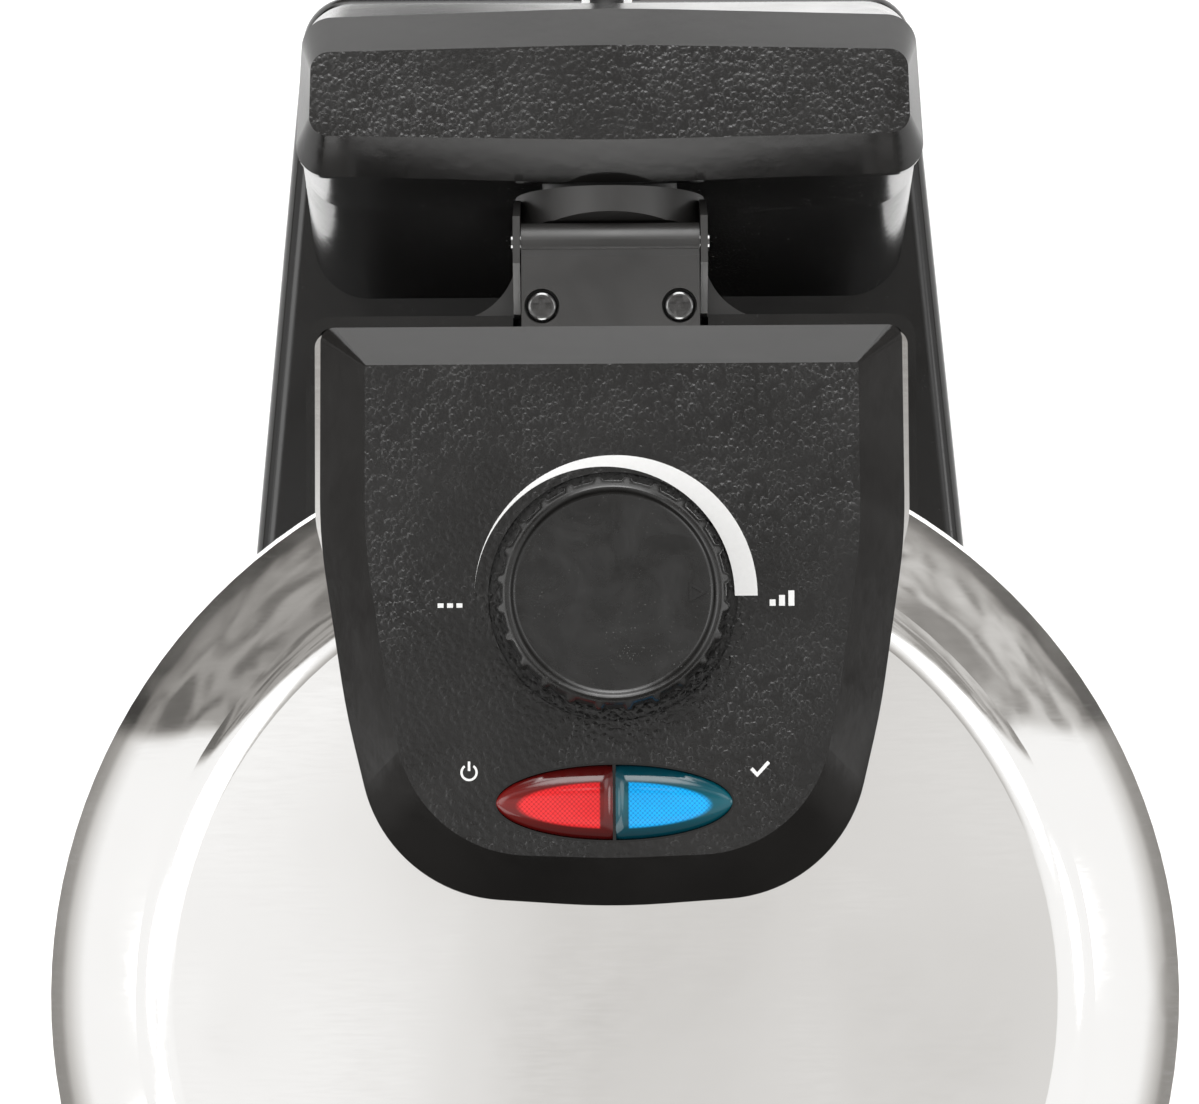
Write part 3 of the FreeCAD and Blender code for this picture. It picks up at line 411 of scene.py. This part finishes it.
def painted_cast():
    """Black powder coat on a casting: orange peel over small pits."""
    f = Finish("painted_cast", IOR=1.5)
    cloud = f.noise(16, 4, 0.6, 0.5)
    pits = f.spread(f.cells(1.5), 0.05, 0.28, 0.0, 1.0, smooth=True)
    f.put(f.blend(cloud, (0.013, 0.0125, 0.012), (0.024, 0.023, 0.022)), "Base Color")
    f.put(f.spread(cloud, 0.3, 0.7, 0.34, 0.48), "Roughness")
    f.bump(f.math("ADD", f.noise(1.5, 2), f.math("MULTIPLY", pits, 0.4)), 0.016)
    return f.material


def bronze():
    """Sintered bronze, dull and finely pitted."""
    f = Finish("sintered_bronze", Metallic=1.0)
    cloud = f.noise(3, 4, 0.6)
    f.put(f.blend(cloud, (0.30, 0.19, 0.08), (0.58, 0.40, 0.18)), "Base Color")
    f.put(f.spread(cloud, 0.3, 0.7, 0.34, 0.55), "Roughness")
    f.bump(f.cells(0.5), 0.02)
    return f.material


def nonstick():
    """Dark non-stick coat with a metallic fleck, a little browned in patches."""
    f = Finish("nonstick_coat", Metallic=0.25, IOR=1.45)
    cloud = f.noise(24, 4, 0.6, 0.5)
    fleck = f.spread(f.cells(0.8), 0.06, 0.2, 1.0, 0.0)
    body = f.blend(cloud, (0.020, 0.019, 0.018), (0.040, 0.036, 0.033))
    f.put(f.blend(f.math("MULTIPLY", fleck, 0.35), body, (0.25, 0.24, 0.23)), "Base Color")
    f.put(f.spread(cloud, 0.3, 0.7, 0.30, 0.45), "Roughness")
    f.bump(f.noise(0.7, 3, 0.6), 0.02)
    return f.material


def element_sheath():
    """Heating element sheath, straw and blue where the heat has tinted it."""
    f = Finish("element_sheath", Metallic=1.0)
    tint = f.noise(14, 3, 0.6, 0.4)
    warm = f.blend(f.spread(tint, 0.3, 0.55), (0.30, 0.25, 0.19), (0.17, 0.14, 0.13))
    f.put(f.blend(f.spread(tint, 0.55, 0.75), warm, (0.14, 0.15, 0.19)), "Base Color")
    f.put(f.spread(tint, 0.3, 0.7, 0.35, 0.5), "Roughness")
    f.bump(f.noise(0.6, 3), 0.015)
    return f.material


def shield_sheet():
    """Aluminised sheet with a soft spangle."""
    f = Finish("shield_sheet", Metallic=1.0)
    spangle = f.cells(7)
    f.put(f.blend(spangle, (0.60, 0.60, 0.61), (0.78, 0.78, 0.78)), "Base Color")
    f.put(f.spread(spangle, 0.1, 0.8, 0.25, 0.42), "Roughness")
    f.bump(f.noise(9, 2), 0.06)
    return f.material


def ceramic():
    """Off-white ceramic, unglazed."""
    f = Finish("ceramic_white", IOR=1.52)
    cloud = f.noise(4, 4, 0.6)
    f.put(f.blend(cloud, (0.70, 0.68, 0.61), (0.82, 0.80, 0.75)), "Base Color")
    f.put(f.spread(cloud, 0.3, 0.7, 0.45, 0.6), "Roughness")
    f.bump(f.noise(0.4, 3), 0.012)
    return f.material


def lamp_glass():
    """Clear lamp glass, tinted a faint orange."""
    f = Finish("lamp_glass", IOR=1.5, Transmission_Weight=0.85)
    cloud = f.noise(1.6, 2)
    f.put(f.blend(cloud, (0.95, 0.80, 0.66), (0.98, 0.90, 0.82)), "Base Color")
    f.put(f.spread(cloud, 0.3, 0.7, 0.02, 0.08), "Roughness")
    f.bump(f.noise(1.5, 1), 0.01)
    return f.material


def rubber():
    """Soft black rubber or PVC with a dusty bloom."""
    f = Finish("soft_black_pvc", IOR=1.5)
    bloom = f.noise(6, 4, 0.65, 0.5)
    f.put(f.blend(bloom, (0.011, 0.011, 0.011), (0.024, 0.0235, 0.023)), "Base Color")
    f.put(f.spread(bloom, 0.3, 0.7, 0.40, 0.60), "Roughness")
    f.bump(f.noise(0.5, 3, 0.6), 0.014)
    return f.material


def tie_black():
    """Black coated strap, a little lighter than the cord."""
    f = Finish("tie_black", IOR=1.5)
    cloud = f.noise(2.5, 3)
    f.put(f.blend(cloud, (0.018, 0.018, 0.018), (0.034, 0.034, 0.034)), "Base Color")
    f.put(f.spread(cloud, 0.3, 0.7, 0.30, 0.42), "Roughness")
    f.bump(f.noise(0.4, 2), 0.012)
    return f.material


def panel_print():
    """Light grey ink, a trace thinner in places."""
    f = Finish("panel_print", IOR=1.45)
    cloud = f.noise(1.2, 4, 0.7)
    f.put(f.blend(cloud, (0.66, 0.66, 0.655), (0.76, 0.76, 0.755)), "Base Color")
    f.put(f.spread(cloud, 0.3, 0.7, 0.42, 0.55), "Roughness")
    f.bump(f.noise(0.5, 3), 0.01)
    return f.material


LENS_Y = 39.5
LENS_HALF = 23.9  # half the length of the two lenses together
LENS_RISE = 7.7  # half their width
GLOW_HALF = (19.6, 4.75)  # half axes of the bright window in them
GLOW_SHIFT = 0.55  # the window lies this much forward of the middle line
NET_PITCH = 0.95


def lens_colour(name, frame_dark, frame_light, window_dark, window_light):
    """Coloured lens over a bright window with a fine diamond net, inside a darker moulded border."""
    f = Finish(name, IOR=1.49)
    x, y, _ = f.split()
    off_seam = f.math("ABSOLUTE", x)
    beyond = f.math("SUBTRACT", y, LENS_Y + LID_CENTRE_Y / MM)
    across = f.math("ABSOLUTE", beyond)
    long_share = f.math("DIVIDE", x, GLOW_HALF[0])
    short_share = f.math("DIVIDE", f.math("ADD", beyond, GLOW_SHIFT), GLOW_HALF[1])
    long_square = f.math("POWER", f.math("ABSOLUTE", long_share), 2.0)
    short_square = f.math("POWER", f.math("ABSOLUTE", short_share), 2.0)
    squares = f.math("ADD", long_square, short_square)
    inside = f.spread(f.math("SQRT", squares), 0.93, 1.03, 1.0, 0.0, smooth=True)
    inside = f.math("MULTIPLY", inside, f.spread(off_seam, 2.7, 3.1, smooth=True))
    turn = math.pi / NET_PITCH
    rising = f.math("SINE", f.math("MULTIPLY", f.math("ADD", x, y), turn))
    falling = f.math("SINE", f.math("MULTIPLY", f.math("SUBTRACT", x, y), turn))
    net = f.math("MULTIPLY", f.math("ABSOLUTE", rising), f.math("ABSOLUTE", falling))
    net = f.spread(net, 0.02, 0.35, smooth=True)
    glow = f.math("MULTIPLY", net, f.spread(f.noise(5, 2), 0.2, 0.7, 0.75, 1.0))
    window = f.blend(glow, window_dark, window_light)
    border = f.blend(f.spread(across, 0.0, LENS_RISE), frame_light, frame_dark)
    f.put(f.blend(inside, border, window), "Base Color")
    f.put(f.spread(f.noise(4, 3), 0.3, 0.7, 0.05, 0.12), "Roughness")
    f.bump(f.noise(3, 2), 0.01)
    return f.material


def floor_finish():
    """Matt white surface, lit through a little so that it stays white under the object."""
    f = Finish("pale_floor", IOR=1.4, Specular_IOR_Level=0.2)
    f.put(f.blend(f.noise(240, 3), (0.92, 0.92, 0.92), (0.94, 0.94, 0.938)), "Base Color")
    f.shader.inputs["Emission Color"].default_value = (1, 1, 1, 1)
    f.shader.inputs["Emission Strength"].default_value = 0.16
    f.put(f.spread(f.noise(60, 2), 0.3, 0.7, 0.8, 0.95), "Roughness")
    return f.material


FINISHES = {
    "base_plastic": black_gloss(),
    "grained_plastic": black_grained(),
    "knob_plastic": knob_black(),
    "tray_plastic": black_satin("tray_satin"),
    "polished_steel": polished_steel(),
    "painted_cast": painted_cast(),
    "steel": zinc_steel(),
    "bush_bronze": bronze(),
    "nonstick": nonstick(),
    "element_steel": element_sheath(),
    "shield_sheet": shield_sheet(),
    "red_lens": lens_colour(
        "red_lens", (0.045, 0.003, 0.003), (0.15, 0.006, 0.005), (0.40, 0.005, 0.008), (0.80, 0.022, 0.026)
    ),
    "blue_lens": lens_colour(
        "blue_lens", (0.001, 0.030, 0.045), (0.002, 0.085, 0.115), (0.001, 0.19, 0.52), (0.004, 0.44, 0.95)
    ),
    "lamp_glass": lamp_glass(),
    "ceramic_white": ceramic(),
    "rubber_black": rubber(),
    "tie_black": tie_black(),
}
PRINT = panel_print()

SOFT_EDGES = {
    "control_panel": 0.9, "tower_cap": 0.6, "tower_shell": 0.5, "base_shell": 0.5,
    "lower_hinge_housing": 0.6, "lid_hinge_arm": 0.4, "neck_casting": 0.4, "lid_grip": 0.6,
    "handle_mount": 0.6, "lid_latch": 0.4, "drip_tray": 0.5, "arm_screws": 0.12,
}


def finish_nodes():
    """Gives every CAD node its finish, and rounds the sharp edges of the moulded pieces."""
    for row in frame["record"]["subparts"]:
        piece = NODES[row["node"]]
        piece.data.materials.clear()
        piece.data.materials.append(FINISHES[row["material_slot"]])
        edge = SOFT_EDGES.get(row["node"])
        if edge:
            rounding = piece.modifiers.new("soft_edges", "BEVEL")
            rounding.width = edge * MM
            rounding.segments = 3
            rounding.limit_method = "ANGLE"
            rounding.angle_limit = math.radians(32)
            rounding.harden_normals = False
    black_steel = black_oxide()
    for node in ("arm_screws", "hinge_pin"):
        NODES[node].data.materials[0] = black_steel


finish_nodes()


# ---------------------------------------------------------------- mains cord

CORD_WIDTH = 7.2
CORD_THICK = 4.6
CORD_EXIT = (0.0, 233.0, 12.0)
COIL_CENTRE = (-48.0, 306.0)
CORD_ROUTE = [(0, 236, 12), (0, 249, 12), (0, 262, 11.2), (-0.6, 275, 7.0), (-2.6, 290, 3.2)]
COIL_KEYS = [  # turn number, radius, height of the cord's middle
    (0.00, 42.2, 2.6), (0.66, 42.2, 2.6), (0.98, 34.9, 2.6), (1.48, 34.9, 2.6),
    (1.70, 35.2, 7.4), (2.42, 35.2, 7.4), (2.70, 42.4, 7.4), (3.22, 42.6, 7.4),
]
POINTS_PER_TURN = 14
CORD_LEAVES = [(-49.5, 350.6, 7.1), (-62, 353.7, 6.9)]


def between_keys(turns):
    """Radius and height on the coil after so many turns, easing from key to key."""
    for (t0, r0, z0), (t1, r1, z1) in zip(COIL_KEYS, COIL_KEYS[1:]):
        if turns <= t1:
            share = (turns - t0) / (t1 - t0)
            share = share * share * (3 - 2 * share)
            return r0 + share * (r1 - r0), z0 + share * (z1 - z0)
    return COIL_KEYS[-1][1:]


def cord_points():
    """Control points of the whole cord: out of the gland, three turns of the coil, to the plug."""
    points = list(CORD_ROUTE)
    outward = 1 / math.cos(math.pi / POINTS_PER_TURN)  # a control polygon lies outside its curve
    for i in range(1, int(COIL_KEYS[-1][0] * POINTS_PER_TURN) + 1):
        turns = i / POINTS_PER_TURN
        radius, z = between_keys(turns)
        angle = 2 * math.pi * turns
        points.append((
            COIL_CENTRE[0] + radius * outward * math.cos(angle),
            COIL_CENTRE[1] + radius * outward * math.sin(angle),
            z,
        ))
    return points + CORD_LEAVES


def spline_line(points):
    """Points along the NURBS spline of these control points, in metres in the row frame."""
    curve = bpy.data.curves.new("cord_line", "CURVE")
    curve.dimensions = "3D"
    curve.resolution_u = 6
    spline = curve.splines.new("NURBS")
    spline.points.add(len(points) - 1)
    for point, spot in zip(spline.points, points):
        point.co = (*place(*spot), 1)
    spline.order_u = 3
    spline.use_endpoint_u = True
    carrier = bpy.data.objects.new("cord_line", curve)
    mesh = bpy.data.meshes.new_from_object(carrier)
    line = [v.co.copy() for v in mesh.vertices]
    bpy.data.meshes.remove(mesh)
    bpy.data.objects.remove(carrier)
    bpy.data.curves.remove(curve)
    return line


def twin_section(count=20):
    """Cross-section of a flat twin lead: two round lobes with a shallow groove between them."""
    lobe = CORD_THICK / 2
    section = []
    for i in range(count):
        angle = 2 * math.pi * i / count
        across = math.cos(angle) * CORD_WIDTH / 2
        offset = abs(across) - (CORD_WIDTH / 2 - lobe)
        up = math.sqrt(max(lobe ** 2 - offset ** 2, 0.0)) if offset > -lobe * 0.62 else lobe * 0.78
        at_edge = abs(math.sin(angle)) < 1e-6
        section.append((across, 0.0 if at_edge else math.copysign(up, math.sin(angle))))
    return section


def sweep(line, section):
    """Points of a tube along line whose section stays level across the line."""
    points = []
    for i, spot in enumerate(line):
        ahead = line[min(i + 1, len(line) - 1)] - line[max(i - 1, 0)]
        ahead.normalize()
        side = ahead.cross(Vector((0, 0, 1))).normalized()
        up = side.cross(ahead).normalized()
        points += [spot + (side * a + up * b) * MM for a, b in section]
    return points


def coil_spot(angle_deg, radius, z, along=0.0):
    """Point on the coil: an angle round it, a distance from its centre, a little way along it."""
    turn = math.radians(angle_deg)
    x = COIL_CENTRE[0] + radius * math.cos(turn) - along * math.sin(turn)
    y = COIL_CENTRE[1] + radius * math.sin(turn) + along * math.cos(turn)
    return place(x, y, z)


def make_tie():
    """Strap wound round the strands of the coil, its edges rolled."""
    middle, half_wide, half_high, z_mid = 38.8, 8.0, 5.15, 5.35
    place_round_coil = 76
    across = [  # place along the cord, and height over the middle of the strap's thickness
        (-3.0, 0.0), (-2.7, 0.28), (-1.0, 0.36), (1.0, 0.36),
        (2.7, 0.28), (3.0, 0.0), (2.6, -0.3), (-2.6, -0.3),
    ]
    rows = 48
    points = []
    for i in range(rows):
        turn = 2 * math.pi * i / rows
        wide = half_wide * signed_power(math.cos(turn), 0.55)
        high = half_high * signed_power(math.sin(turn), 0.55)
        for along, out in across:
            grow = 1 + out / 7
            spot = coil_spot(place_round_coil, middle + wide * grow, z_mid + high * grow * 0.98, along)
            points.append(spot)
    faces = grid_faces(rows, len(across), closed_rows=True, closed_columns=True)
    tie = mesh_piece("coil_tie", points, faces, FINISHES["tie_black"], "base", 50)
    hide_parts("cord_tie")
    return tie


def make_plug():
    """Moulded plug: waisted grip with finger ribs, a squared front and two flat blades."""
    y_mid, z_mid = 353.7, 6.8
    profile = [(-60.2, 4.6, 3.0), (-60.6, 6.2, 4.0), (-62.4, 8.2, 5.4)]  # x, half width, half height
    for i in range(7):
        x = -64.0 - i * 1.9
        half = 8.6 + 0.9 * i / 6
        rib = half + 0.45
        profile += [(x, half, 5.9), (x - 0.5, rib, 6.3), (x - 1.1, rib, 6.3), (x - 1.6, half, 5.9)]
    profile += [
        (-78.4, 9.8, 6.1), (-80.0, 10.6, 6.35), (-85.2, 10.7, 6.4), (-85.8, 10.3, 6.0), (-86.0, 9.6, 5.3),
    ]
    count = 36
    points = []
    for x, half, high in profile:
        for i in range(count):
            turn = 2 * math.pi * i / count
            y = y_mid + half * signed_power(math.cos(turn), 0.6)
            z = z_mid + high * signed_power(math.sin(turn), 0.6)
            points.append(place(x, y, z))
    faces = tube_faces(len(profile), count)
    plug = mesh_piece("plug_body", points, faces, FINISHES["rubber_black"], "base", 40)
    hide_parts("mains_plug")
    blades = []
    for name, y in (("plug_blade_front", 347.35), ("plug_blade_rear", 360.05)):
        outline = [(-85.0, 3.6), (-101.2, 3.6), (-103.0, 5.2), (-103.0, 8.4), (-101.2, 10.0), (-85.0, 10.0)]
        points = [place(x, y + side, z) for side in (-0.8, 0.8) for x, z in outline]
        blade = mesh_piece(name, points, prism_faces(len(outline)), FINISHES["bush_bronze"], "base", 30)
        blades.append(blade)
    return [plug, *blades]


def make_gland():
    """Strain relief: a collar at the wall, then a ribbed sleeve tapering down onto the lead."""
    x0, y0, z0 = CORD_EXIT
    profile = [  # distance beyond the wall, radius
        (-9.5, 5.6), (-9.3, 5.9), (-7.2, 5.9), (-7.0, 5.0), (-1.0, 5.0), (0.2, 5.0),
    ]
    for i in range(6):
        y = 1.0 + i * 3.2
        radius = 4.9 - 0.13 * i
        profile += [(y, radius), (y + 1.7, radius - 0.05), (y + 1.9, radius - 0.5), (y + 2.8, radius - 0.5)]
    profile += [(20.6, 4.2), (22.4, 4.1), (22.9, 3.9)]
    count = 40
    points = []
    for y, radius in profile:
        for i in range(count):
            turn = 2 * math.pi * i / count
            points.append(place(x0 + radius * math.cos(turn), y0 + y, z0 + radius * math.sin(turn)))
    faces = tube_faces(len(profile), count)
    gland = mesh_piece("ribbed_gland", points, faces, FINISHES["rubber_black"], "base", 40)
    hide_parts("cord_gland")
    return gland


def make_cord():
    """Flat twin lead, from the gland round the coil to the plug, and the pieces that go with it."""
    line = spline_line(cord_points())
    section = twin_section()
    points = sweep(line, section)
    faces = tube_faces(len(line), len(section))
    lead = mesh_piece("mains_lead", points, faces, FINISHES["rubber_black"], "base", 60)
    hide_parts("cord_tube", "cord_coil")
    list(make_plug())
    make_tie()
    make_gland()


make_cord()


# ---------------------------------------------------------------- control panel

KNOB_Y = 81.0
PANEL_TOP = 197.0
INK = (PANEL_TOP + 0.01, PANEL_TOP + 0.06)


def ink_piece(name, outline):
    """Printed shape on the panel's top."""
    slab_piece(name, outline, *INK, PRINT, "lid")


def make_scale():
    """Crescent round the rear of the knob, from nothing on the left to broad on the right."""
    outer = arc_points((0.6, KNOB_Y), 28.6, 180, 0, 72)
    inner = arc_points((-1.7, KNOB_Y), 26.3, 0, 179.5, 72)
    ink_piece("scale_crescent", outer + inner)


make_scale()


def make_bars(name, x0, heights):
    """Level mark: three upright bars on one foot line."""
    foot, width, pitch = 78.9, 1.2, 1.9
    for i, height in enumerate(heights):
        x = x0 + i * pitch
        outline = [(x, foot), (x + width, foot), (x + width, foot + height), (x, foot + height)]
        ink_piece(f"{name}_{i}", outline)


def make_marks():
    """Low and high marks at the ends of the scale, an on sign and a tick above the lamps."""
    make_bars("low_mark", -35.4, (0.9, 0.9, 0.9))
    make_bars("high_mark", 31.6, (1.3, 2.2, 3.1))
    x, y = -29.2, 45.7
    outer = arc_points((x, y), 1.75, 125, 415, 32)
    inner = arc_points((x, y), 1.3, 415, 125, 32)
    ink_piece("on_sign_ring", outer + inner)
    stroke = [(x - 0.25, y + 0.3), (x + 0.25, y + 0.3), (x + 0.25, y + 2.2), (x - 0.25, y + 2.2)]
    ink_piece("on_sign_stroke", stroke)
    x = 29.3
    tick = [
        (x - 1.9, y + 0.2), (x - 1.4, y + 0.7), (x - 0.5, y - 0.3), (x + 1.6, y + 2.0),
        (x + 2.1, y + 1.5), (x - 0.5, y - 1.3),
    ]
    ink_piece("ready_tick", tick)


make_marks()


NUB_PITCH = 15.0  # degrees round the knob
NUB_HALF = 2.7  # degrees
NUB_HEIGHT = 0.85


def nub_swell(turn):
    """How far the grip nubs stand out at an angle round the knob."""
    off = (math.degrees(turn) - NUB_PITCH / 2) % NUB_PITCH
    off = min(off, NUB_PITCH - off) / NUB_HALF
    return NUB_HEIGHT * math.sqrt(1 - off * off) if off < 1 else 0.0


def make_knob():
    """Knob with 24 grip nubs, a rounded rim round a barely domed top and an outlined pointer."""
    side = [
        (22.3, 196.2, 0.0), (22.45, 196.7, 0.3), (22.5, 197.4, 1.0), (22.5, 204.0, 1.0), (22.45, 211.4, 1.0),
    ]
    brow = [
        (22.3, 212.2, 0.7), (22.1, 212.9, 0.25), (21.8, 213.6, 0.0), (21.35, 214.2, 0.0), (20.9, 214.5, 0.0),
    ]
    dish = [
        (20.5, 214.45, 0.0), (20.15, 214.15, 0.0), (19.95, 213.75, 0.0), (19.6, 213.45, 0.0),
        (19.2, 213.38, 0.0),
    ]
    crown = [(19.2 * (1 - i / 9), 213.38 + 0.35 * (1 - (1 - i / 9) ** 2), 0.0) for i in range(1, 9)]
    crown.append((0.05, 213.73, 0.0))
    knob = lathe_piece(
        "knob_body", (0, KNOB_Y), side + brow + dish + crown, nub_swell, 384, FINISHES["knob_plastic"],
        "knob",
    )
    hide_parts("control_knob")
    outer = [(18.5, KNOB_Y), (15.0, KNOB_Y + 2.0), (15.0, KNOB_Y - 2.0)]
    inner = [(17.4, KNOB_Y), (15.5, KNOB_Y + 1.1), (15.5, KNOB_Y - 1.1)]
    pointer = frame_piece("knob_pointer", outer, inner, 213.3, 213.85, FINISHES["knob_plastic"], "knob")


make_knob()


# ---------------------------------------------------------------- indicator lenses

SEAM_GAP = 0.28  # from the middle of the panel to each lens
LENS_FOOT = 194.2  # height of the lens's underside


def lens_half_width(x):
    """Half width of the ellipse at a distance along it."""
    return LENS_RISE * math.sqrt(max(1 - (x / LENS_HALF) ** 2, 0.0))


def make_lens(name, sign, slot, node):
    """Domed half of the ellipse, its rim and its seam side rolled over."""
    along, across = 40, 25
    points = []
    for i in range(along):
        share = i / (along - 1)
        x = SEAM_GAP + (LENS_HALF - 0.12 - SEAM_GAP) * (1 - (1 - share) ** 2)
        half = max(lens_half_width(x) - 0.05, 0.02)
        seam_drop = 0.9 * max(0.0, 1 - (x - SEAM_GAP)) ** 2.5
        for j in range(across):
            s = -math.cos(math.pi * j / (across - 1))
            rise = (1 - abs(s) ** 3.2) ** 0.62 if abs(s) < 1 else 0.0
            crown = 1.0 + 1.7 * min(half / LENS_RISE, 1.0) ** 0.8
            points.append(place(sign * x, LENS_Y + s * half, 195.6 + rise * crown - seam_drop * rise))
    faces = grid_faces(along, across)
    edge = list(range(across))
    edge += [i * across + across - 1 for i in range(1, along)]
    edge += [(along - 1) * across + j for j in range(across - 2, -1, -1)]
    edge += [i * across for i in range(along - 2, 0, -1)]
    foot = range(len(points), len(points) + len(edge))
    points += [Vector((points[k].x, points[k].y, LENS_FOOT * MM)) for k in edge]
    faces += wall_faces(edge, foot)
    faces.append(tuple(foot))
    lens = mesh_piece(name, points, faces, FINISHES[slot], "lid", 50)
    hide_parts(node)


def make_lens_gap_shade():
    """Painted shade: black pieces fill the gap round the lens and the gap between its two halves, standing
    in for the shade there.
    """
    def ellipse(grow):
        turns = [2 * math.pi * i / 96 for i in range(96)]
        long_half, short_half = LENS_HALF + grow, LENS_RISE + grow
        return [(long_half * math.cos(t), LENS_Y + short_half * math.sin(t)) for t in turns]

    lip, overlap = 0.32, 0.1
    # Painted shade: a black ring fills the gap between the lens and the panel.
    gap_shade_ring = frame_piece(
        "lens_gap_shade_ring", ellipse(lip), ellipse(-overlap), 194.6, 196.75, FINISHES["base_plastic"], "lid",
    )
    front, rear = LENS_Y - (LENS_RISE - overlap), LENS_Y + (LENS_RISE - overlap)
    # Painted shade: a black strip fills the gap between the two lens halves.
    seam_shade_strip = [(-lip, front), (lip, front), (lip, rear), (-lip, rear)]
    slab_piece("lens_seam_shade_strip", seam_shade_strip, 194.3, 196.9, FINISHES["base_plastic"], "lid")


make_lens_gap_shade()
make_lens("power_lens_dome", -1, "red_lens", "power_lens")
make_lens("ready_lens_dome", 1, "blue_lens", "ready_lens")


# ---------------------------------------------------------------- light and floor

def make_floor():
    """White surface eight metres square."""
    half = 4.0
    mesh = bpy.data.meshes.new("floor")
    corners = [(-half, -half, 0), (half, -half, 0), (half, half, 0), (-half, half, 0)]
    mesh.from_pydata(corners, [], [(0, 1, 2, 3)])
    floor = bpy.data.objects.new("floor", mesh)
    bpy.context.scene.collection.objects.link(floor)
    mesh.materials.append(floor_finish())


SOFT_BOXES = (  # direction, degrees to the edge of the full and of the faint part, added brightness
    ((-0.045, 0.172, 1.0), 0.4, 2.4, 1.5),
    ((0.068, 0.176, 1.0), 0.6, 2.6, 1.0),
    ((-0.52, 0.16, 0.84), 8, 15, 2.4),
    ((0.50, 0.30, 0.81), 7, 13, 1.4),
    ((0.0, 0.62, 0.78), 8, 16, 6.5),
    ((0.78, 0.05, 0.62), 4, 9, 4.0),
    ((-0.78, 0.0, 0.62), 4, 9, 2.2),
)
WINDOWS = (
    ((0, 0.97, 0.16), 16, 26, 2.2),
    ((0, 0.93, 0.36), 9, 18, 1.6),
)


class Room(Shading):
    """Light of the surroundings as a function of direction."""

    def __init__(self, world):
        super().__init__(world.node_tree)
        coords = self.tree.nodes.new("ShaderNodeTexCoord")
        self.where = coords.outputs["Generated"]

    def near(self, direction, inner_deg, outer_deg):
        """One within inner_deg of a direction, easing to nought at outer_deg."""
        dot = self.tree.nodes.new("ShaderNodeVectorMath")
        dot.operation = "DOT_PRODUCT"
        self.join(self.where, dot.inputs[0])
        dot.inputs[1].default_value = Vector(direction).normalized()
        cosines = math.cos(math.radians(outer_deg)), math.cos(math.radians(inner_deg))
        return self.spread(dot.outputs["Value"], *cosines, smooth=True)

    def add_patches(self, level, patches):
        """Level with each patch's brightness added round its direction."""
        for direction, inner, outer, gain in patches:
            level = self.math("ADD", level, self.math("MULTIPLY", self.near(direction, inner, outer), gain))
        return level

    def laid_in(self, level, patch_level, share):
        """Level with a patch of another brightness in place of plain white, where share is one."""
        change = self.math("SUBTRACT", patch_level, 1.0)
        return self.math("ADD", level, self.math("MULTIPLY", share, change))


def make_world():
    """White tent all round: streaked grey behind, a dim patch overhead, soft boxes and a window."""
    world = bpy.data.worlds.new("studio")
    world.use_nodes = True
    bpy.context.scene.world = world
    room = Room(world)
    x, y, z = room.split()
    rear = room.spread(y, 0.41, 0.45, smooth=True)
    grey_level = room.spread(x, -0.8, 0.6, 0.24, 0.44)
    streaks = room.spread(room.noise(0.16, 3, 0.5, 1.4), 0.36, 0.62, 0.62, 1.45, smooth=True)
    grey_level = room.math("MULTIPLY", grey_level, streaks)
    level = room.laid_in(1.0, grey_level, rear)

    overhead = room.near((0.0, 0.05, 1.0), 15, 23)
    left_rise = room.spread(x, -0.075, 0.0, 0.30, 0.0, smooth=True)
    right_rise = room.spread(x, 0.03, 0.055, 0.0, 0.08, smooth=True)
    overhead_level = room.math("ADD", room.math("ADD", left_rise, right_rise), 0.66)
    darker_rear = room.spread(y, 0.045, 0.10, 1.0, 0.42, smooth=True)
    folds = room.spread(room.noise(0.035, 2, 0.5, 0.8), 0.3, 0.7, 0.92, 1.08, smooth=True)
    for dimming in (darker_rear, folds):
        overhead_level = room.math("MULTIPLY", overhead_level, dimming)
    level = room.laid_in(level, overhead_level, overhead)

    level = room.add_patches(level, SOFT_BOXES)
    horizon = room.spread(room.math("ABSOLUTE", z), 0.02, 0.25, 0.28, 1.0, smooth=True)
    dim_front = room.spread(y, -0.62, -0.40, 0.30, 1.0, smooth=True)
    for dimming in (horizon, dim_front):
        level = room.math("MULTIPLY", level, dimming)
    level = room.add_patches(level, WINDOWS)

    background = room.tree.nodes["Background"]
    warm_when_dim = room.blend(room.spread(level, 0.2, 1.0), (1.0, 0.955, 0.90), (1.0, 0.997, 0.992))
    room.join(warm_when_dim, background.inputs["Color"])
    room.join(level, background.inputs["Strength"])


def make_lights():
    """A broad rear softbox and a gentle front-left fill."""
    for name, spot, aim, size, watts in (
        ("rear_softbox", (0, 1500, 900), (0, 60, 120), 900, 14),
        ("left_fill", (-1300, -900, 1500), (0, 0, 120), 1200, 10),
    ):
        data = bpy.data.lights.new(name, "AREA")
        data.size = size * MM
        data.energy = watts
        light = bpy.data.objects.new(name, data)
        light.location = place(*spot)
        facing = place(*aim) - light.location
        light.rotation_euler = facing.to_track_quat("-Z", "Y").to_euler()
        bpy.context.scene.collection.objects.link(light)


make_floor()
make_world()
make_lights()
bpy.context.scene.view_settings.view_transform = "Standard"
